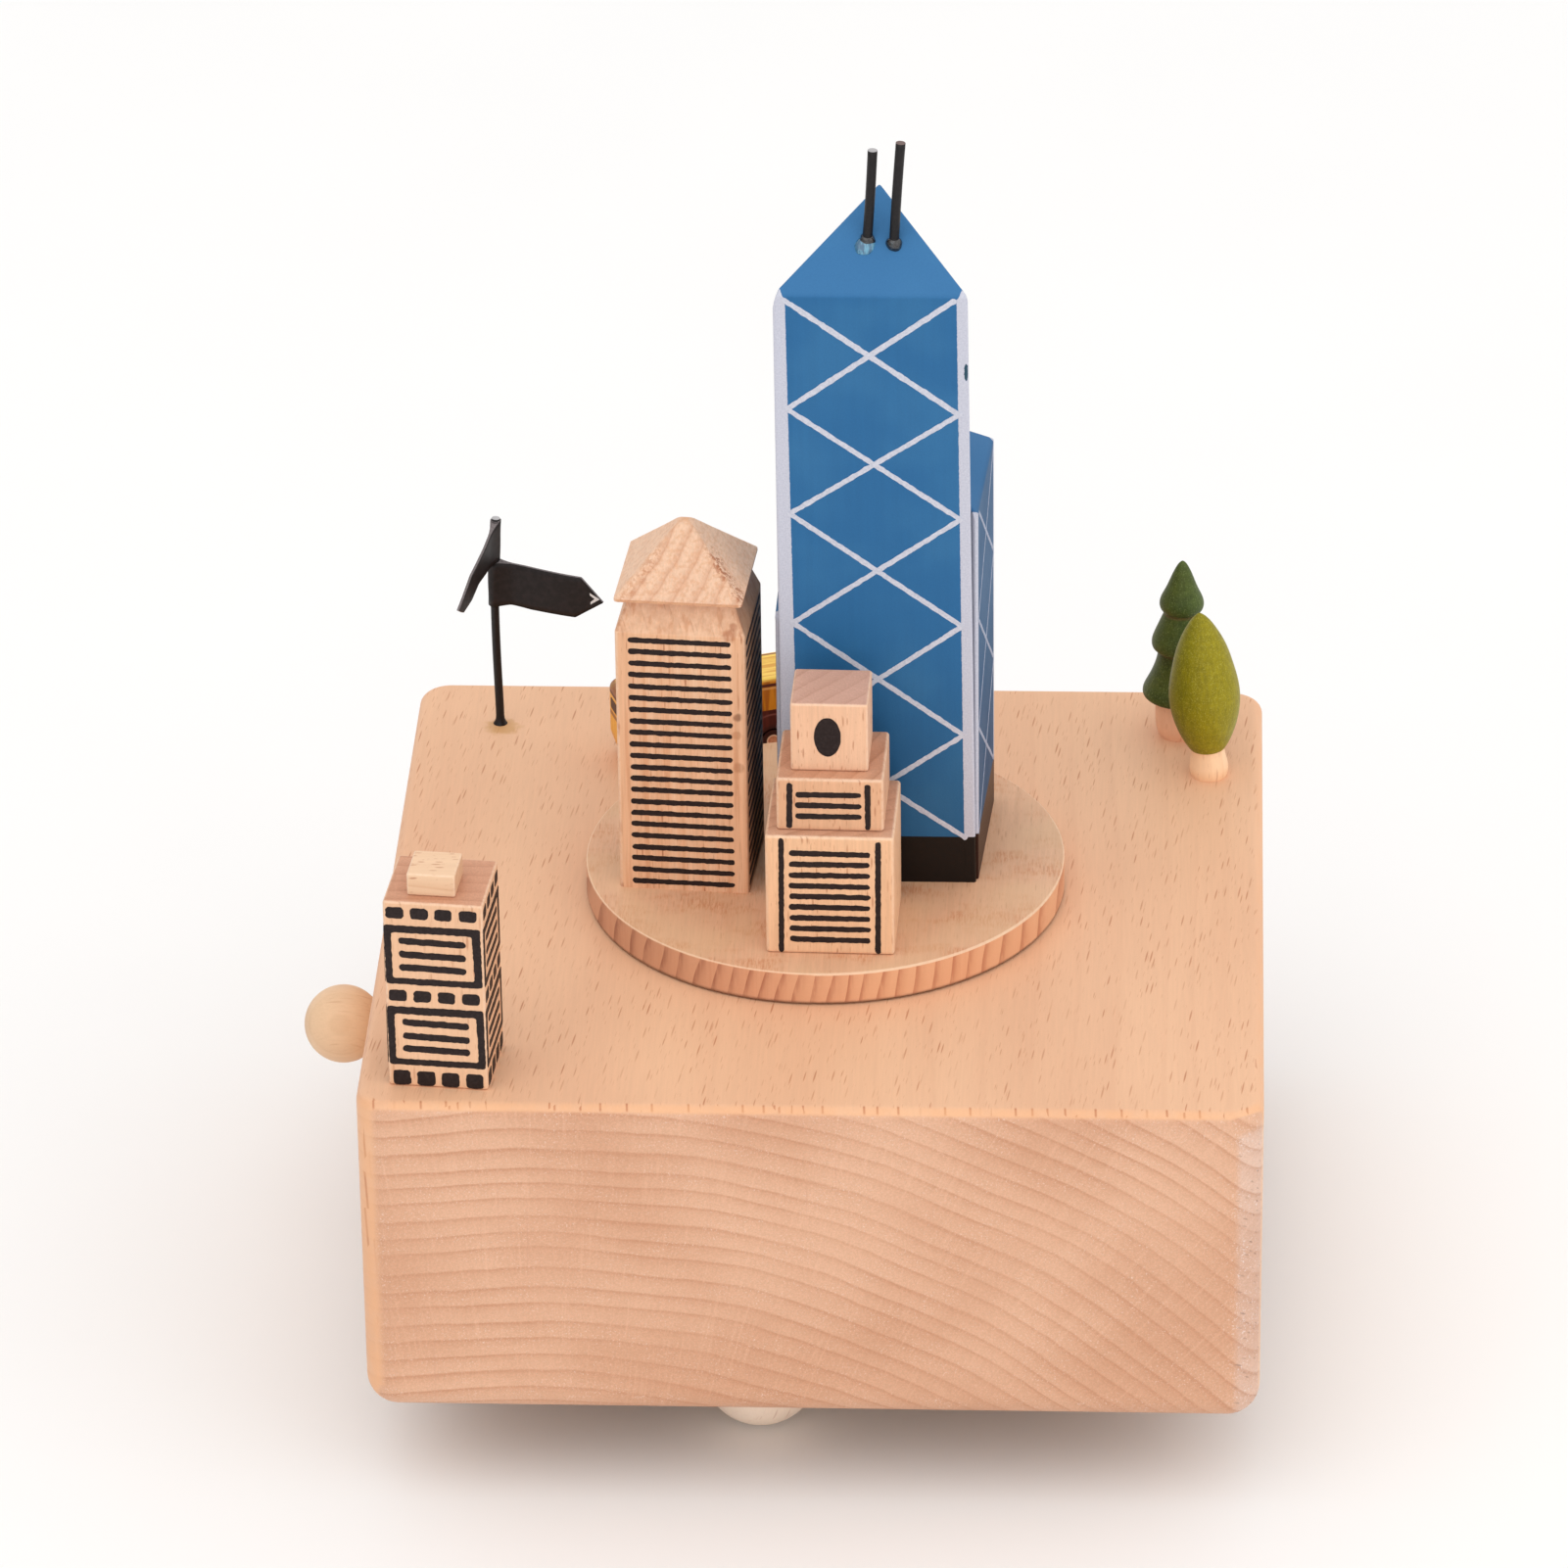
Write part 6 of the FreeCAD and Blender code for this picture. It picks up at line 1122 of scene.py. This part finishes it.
def tram_paint(name):
    """Satin paint: a maroon skirt, above it the side in the roof's yellow darkened to amber as painted shade, a yellow
    roof with the grain showing.
    """
    m = Mat(name)
    c, s = TX.x, TX.y
    x, y, z = m.sep(m.p)
    dx, dy = m.math("SUBTRACT", x, TRAM_AT.x), m.math("SUBTRACT", y, TRAM_AT.y)
    a = m.math("ADD", m.math("MULTIPLY", dx, c), m.math("MULTIPLY", dy, s))
    b = m.math("SUBTRACT", m.math("MULTIPLY", dy, c), m.math("MULTIPLY", dx, s))
    fine = m.noise(m.comb(m.math("MULTIPLY", a, 0.10), m.math("MULTIPLY", b, 1.6), m.math("MULTIPLY", z, 1.6)), 1.0, 3.0, 0.6)
    up = m.noise(m.comb(m.math("MULTIPLY", a, 1.8), m.math("MULTIPLY", b, 1.8), m.math("MULTIPLY", z, 0.12)), 1.0, 3.0, 0.6)
    roof = m.mix(m.smooth(fine, 0.42, 0.62), srgb(250, 208, 88), srgb(222, 158, 44))
    # painted shade: the side is the roof's yellow paint darkened to amber
    side = m.mix(m.smooth(up, 0.38, 0.66), srgb(226, 146, 28), srgb(186, 104, 16))
    skirt = m.mix(m.smooth(up, 0.35, 0.7), srgb(74, 22, 18), srgb(96, 36, 28))
    wob = m.math("MULTIPLY", m.math("SUBTRACT", m.noise(m.p, 1.2, 2.0), 0.5), 0.12)
    zz = m.math("ADD", z, wob)
    nose = m.smooth(m.math("ABSOLUTE", a), 13.6, 14.6)
    col = m.mix(m.math("MULTIPLY", m.smooth(zz, 50.58, 50.70, 1.0, 0.0), m.math("SUBTRACT", 1.0, nose)), side, skirt)
    arc = m.vmath("LENGTH", m.comb(m.math("SUBTRACT", m.math("ABSOLUTE", a), 4.2), 0.0, m.math("SUBTRACT", z, 46.08)))
    ln = m.smooth(m.math("ABSOLUTE", m.math("SUBTRACT", arc, 3.84)), 0.07, 0.17, 0.8, 0.0)
    ln = m.math("MULTIPLY", ln, m.smooth(zz, 50.4, 50.55, 1.0, 0.0))
    col = m.mix(ln, col, srgb(138, 84, 76))
    # painted shadow inside the wheel arches
    arch_painted_shadow = m.math("MULTIPLY", m.smooth(arc, 2.0, 2.5, 1.0, 0.0), m.smooth(zz, 50.4, 50.55, 1.0, 0.0))
    col = m.mix(m.math("MULTIPLY", arch_painted_shadow, 0.7), col, srgb(34, 12, 12))
    col = m.mix(m.math("MULTIPLY", nose, 0.6), col, srgb(252, 190, 70))
    # at the ends a dark seam over the amber bumper
    brown = m.math("MULTIPLY", nose, m.math("MULTIPLY", m.smooth(zz, 50.9, 51.1), m.smooth(zz, 51.5, 51.7, 1.0, 0.0)))
    col = m.mix(m.math("MULTIPLY", brown, 0.8), col, srgb(124, 58, 26))
    line = m.math("MULTIPLY", m.smooth(zz, 53.98, 54.08), m.smooth(zz, 54.42, 54.52, 1.0, 0.0))
    col = m.mix(line, col, srgb(88, 34, 20))
    # painted highlight: a pale band just under the roof's edge
    painted_highlight = m.math("MULTIPLY", m.smooth(zz, 53.60, 53.68), m.smooth(zz, 53.92, 54.0, 1.0, 0.0))
    col = m.mix(m.math("MULTIPLY", painted_highlight, 0.7), col, srgb(236, 178, 104))
    nz = m.sep(m.n)[2]
    top = m.smooth(nz, 0.35, 0.6)
    col = m.mix(top, col, roof)
    rim = m.math("MULTIPLY", top, m.math("MULTIPLY", m.smooth(b, 2.62, 2.72), m.smooth(b, 3.02, 3.12, 1.0, 0.0)))
    col = m.mix(rim, col, srgb(150, 88, 36))
    crown = m.math("MULTIPLY", m.smooth(zz, 54.3, 54.45), m.smooth(m.math("ABSOLUTE", a), 14.8, 15.3))
    col = m.mix(m.math("MULTIPLY", crown, 0.8), col, srgb(120, 52, 40))
    m.bump(m.math("ADD", fine, up), 0.25, 0.00006)
    return m.finish(col, m.math("ADD", 0.34, m.math("MULTIPLY", fine, 0.15)), spec=0.45)


paint("tram_body", tram_paint("tram_paint"))


def wheel_paint(name):
    """Dark maroon wheels with a bare wooden hub."""
    m = Mat(name)
    x, y, z = m.sep(m.p)
    dx, dy = m.math("SUBTRACT", x, TRAM_AT.x), m.math("SUBTRACT", y, TRAM_AT.y)
    a = m.math("ADD", m.math("MULTIPLY", dx, TX.x), m.math("MULTIPLY", dy, TX.y))
    r = m.vmath("LENGTH", m.comb(m.math("SUBTRACT", m.math("ABSOLUTE", a), 4.2), 0.0, m.math("SUBTRACT", z, 46.08)))
    n = m.noise(m.p, 2.2, 3.0, 0.6)
    hub = m.mix(m.smooth(n, 0.35, 0.65), srgb(226, 158, 118), srgb(204, 132, 92))
    hub = m.mix(m.smooth(r, 0.55, 0.75), hub, srgb(248, 208, 172))
    col = m.mix(m.smooth(r, 0.78, 0.88), hub, m.mix(n, srgb(44, 16, 14), srgb(62, 24, 20)))
    m.bump(n, 0.25, 0.00006)
    return m.finish(col, m.math("ADD", 0.42, m.math("MULTIPLY", n, 0.14)), spec=0.3)


wheel_mat = wheel_paint("tram_wheel_maroon")
paint("tram_wheelset_front", wheel_mat)
paint("tram_wheelset_rear", wheel_mat)
window_ink = ink("tram_window_brown", (66, 34, 24), 0.4)
for sgn, tag in ((-1, "near"), (1, "far")):
    face = Face(0, 0, 0, 0, "front")
    face.u = TX if sgn < 0 else -TX
    face.n = -TY if sgn < 0 else TY
    face.o = TRAM_AT + face.n * 3.7
    sh = []
    for k in range(5):
        if sgn < 0 and k in (4,):
            pass
        u0 = -11.0 + k * 4.6
        sh.append(rect(u0, 51.5, u0 + 3.2, 53.3, 0.4, seed=20 + k + sgn, amp=0.06))
    if sgn < 0:
        sh = [q for k, q in enumerate(sh) if k != 3]
    print_on("tram_windows_" + tag, face, sh, window_ink, "tram")
for sgn, tag in ((-1, "rear"), (1, "front")):
    face = Face(0, 0, 0, 0, "front")
    face.u = TY * sgn
    face.n = TX * sgn
    face.o = TRAM_AT + face.n * 16.0
    print_on("tram_end_window_" + tag, face, [rect(-1.35, 52.0, 1.35, 53.5, 0.3, seed=31 + sgn, amp=0.05)], window_ink, "tram")

# ------------------------------------------------------------------ stage, light, camera
bpy.context.view_layer.update()
lo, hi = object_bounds()
floor_z = lo.z - 0.00002
bm = bmesh.new()
S = 3.0
vs = [bm.verts.new((x, y, floor_z)) for x, y in ((-S, -S), (S, -S), (S, S), (-S, S))]
bm.faces.new(vs)
me = bpy.data.meshes.new("studio_floor")
bm.to_mesh(me)
bm.free()
floor = bpy.data.objects.new("studio_floor", me)
bpy.context.scene.collection.objects.link(floor)
fm = Mat("floor_pale")
_n = fm.noise(fm.p, 0.02, 2.0)
floor.data.materials.append(fm.finish(fm.mix(_n, (0.90, 0.90, 0.90, 1), (0.92, 0.92, 0.92, 1)), 0.9, spec=0.1))

scene = bpy.context.scene
scene.view_settings.view_transform = "Standard"
scene.view_settings.look = "None"
scene.view_settings.exposure = 0.0
DOME = 1.0
world = bpy.data.worlds.new("studio")
world.use_nodes = True
wt = world.node_tree
bg = wt.nodes["Background"]
bg.inputs["Color"].default_value = (1.0, 0.99, 0.98, 1.0)
# an even dome, a little darker low down at the left, where a studio has its black card
_tc = wt.nodes.new("ShaderNodeTexCoord")
_dot = wt.nodes.new("ShaderNodeVectorMath")
_dot.operation = "DOT_PRODUCT"
wt.links.new(_tc.outputs["Generated"], _dot.inputs[0])
_dot.inputs[1].default_value = (-0.97, 0.05, -0.10)
_mr = wt.nodes.new("ShaderNodeMapRange")
_mr.interpolation_type = "SMOOTHSTEP"
wt.links.new(_dot.outputs["Value"], _mr.inputs["Value"])
for _k, _v in (("From Min", 0.55), ("From Max", 0.95), ("To Min", DOME), ("To Max", DOME * 0.35)):
    _mr.inputs[_k].default_value = _v
wt.links.new(_mr.outputs["Result"], bg.inputs["Strength"])
scene.world = world


def area(name, loc, target, size, power, colour=(1, 1, 1), size_y=None):
    light = bpy.data.lights.new(name, "AREA")
    light.shape = "RECTANGLE"
    light.size = size
    light.size_y = size_y or size
    light.energy = power
    light.color = colour
    o = bpy.data.objects.new(name, light)
    scene.collection.objects.link(o)
    o.location = loc
    o.rotation_mode = "QUATERNION"
    o.rotation_quaternion = (Vector(target) - Vector(loc)).to_track_quat("-Z", "Y")
    return o


area("key_left", (-0.35, -0.70, 1.35), (0, 0, 0.05), 1.5, 5.0, (1.0, 0.99, 0.97))
area("fill_low", (0.05, -1.1, 0.10), (0, 0, 0.02), 0.6, 0.55, (1.0, 0.99, 0.98))
area("fill_right", (0.95, -0.65, 0.85), (0, 0, 0.05), 1.0, 1.6, (1.0, 0.99, 0.98))

cam = bpy.data.cameras.new("camera")
cam.lens = 210.0
cam.sensor_width = 36.0
cam.clip_start = 0.05
cam.clip_end = 20.0
camo = bpy.data.objects.new("camera", cam)
scene.collection.objects.link(camo)
right = Vector((0.999, 0.0432, -0.0118)).normalized()
down = Vector((0.0107, -0.4856, -0.8741))
fwd = Vector((-0.0434, 0.8731, -0.4855))
up = -(down - right * down.dot(right)).normalized()
back = right.cross(up)
M = Matrix((
    (right.x, up.x, back.x, 0.0447),
    (right.y, up.y, back.y, -0.9993),
    (right.z, up.z, back.z, 0.6147),
    (0, 0, 0, 1),
))
camo.matrix_world = M
scene.camera = camo
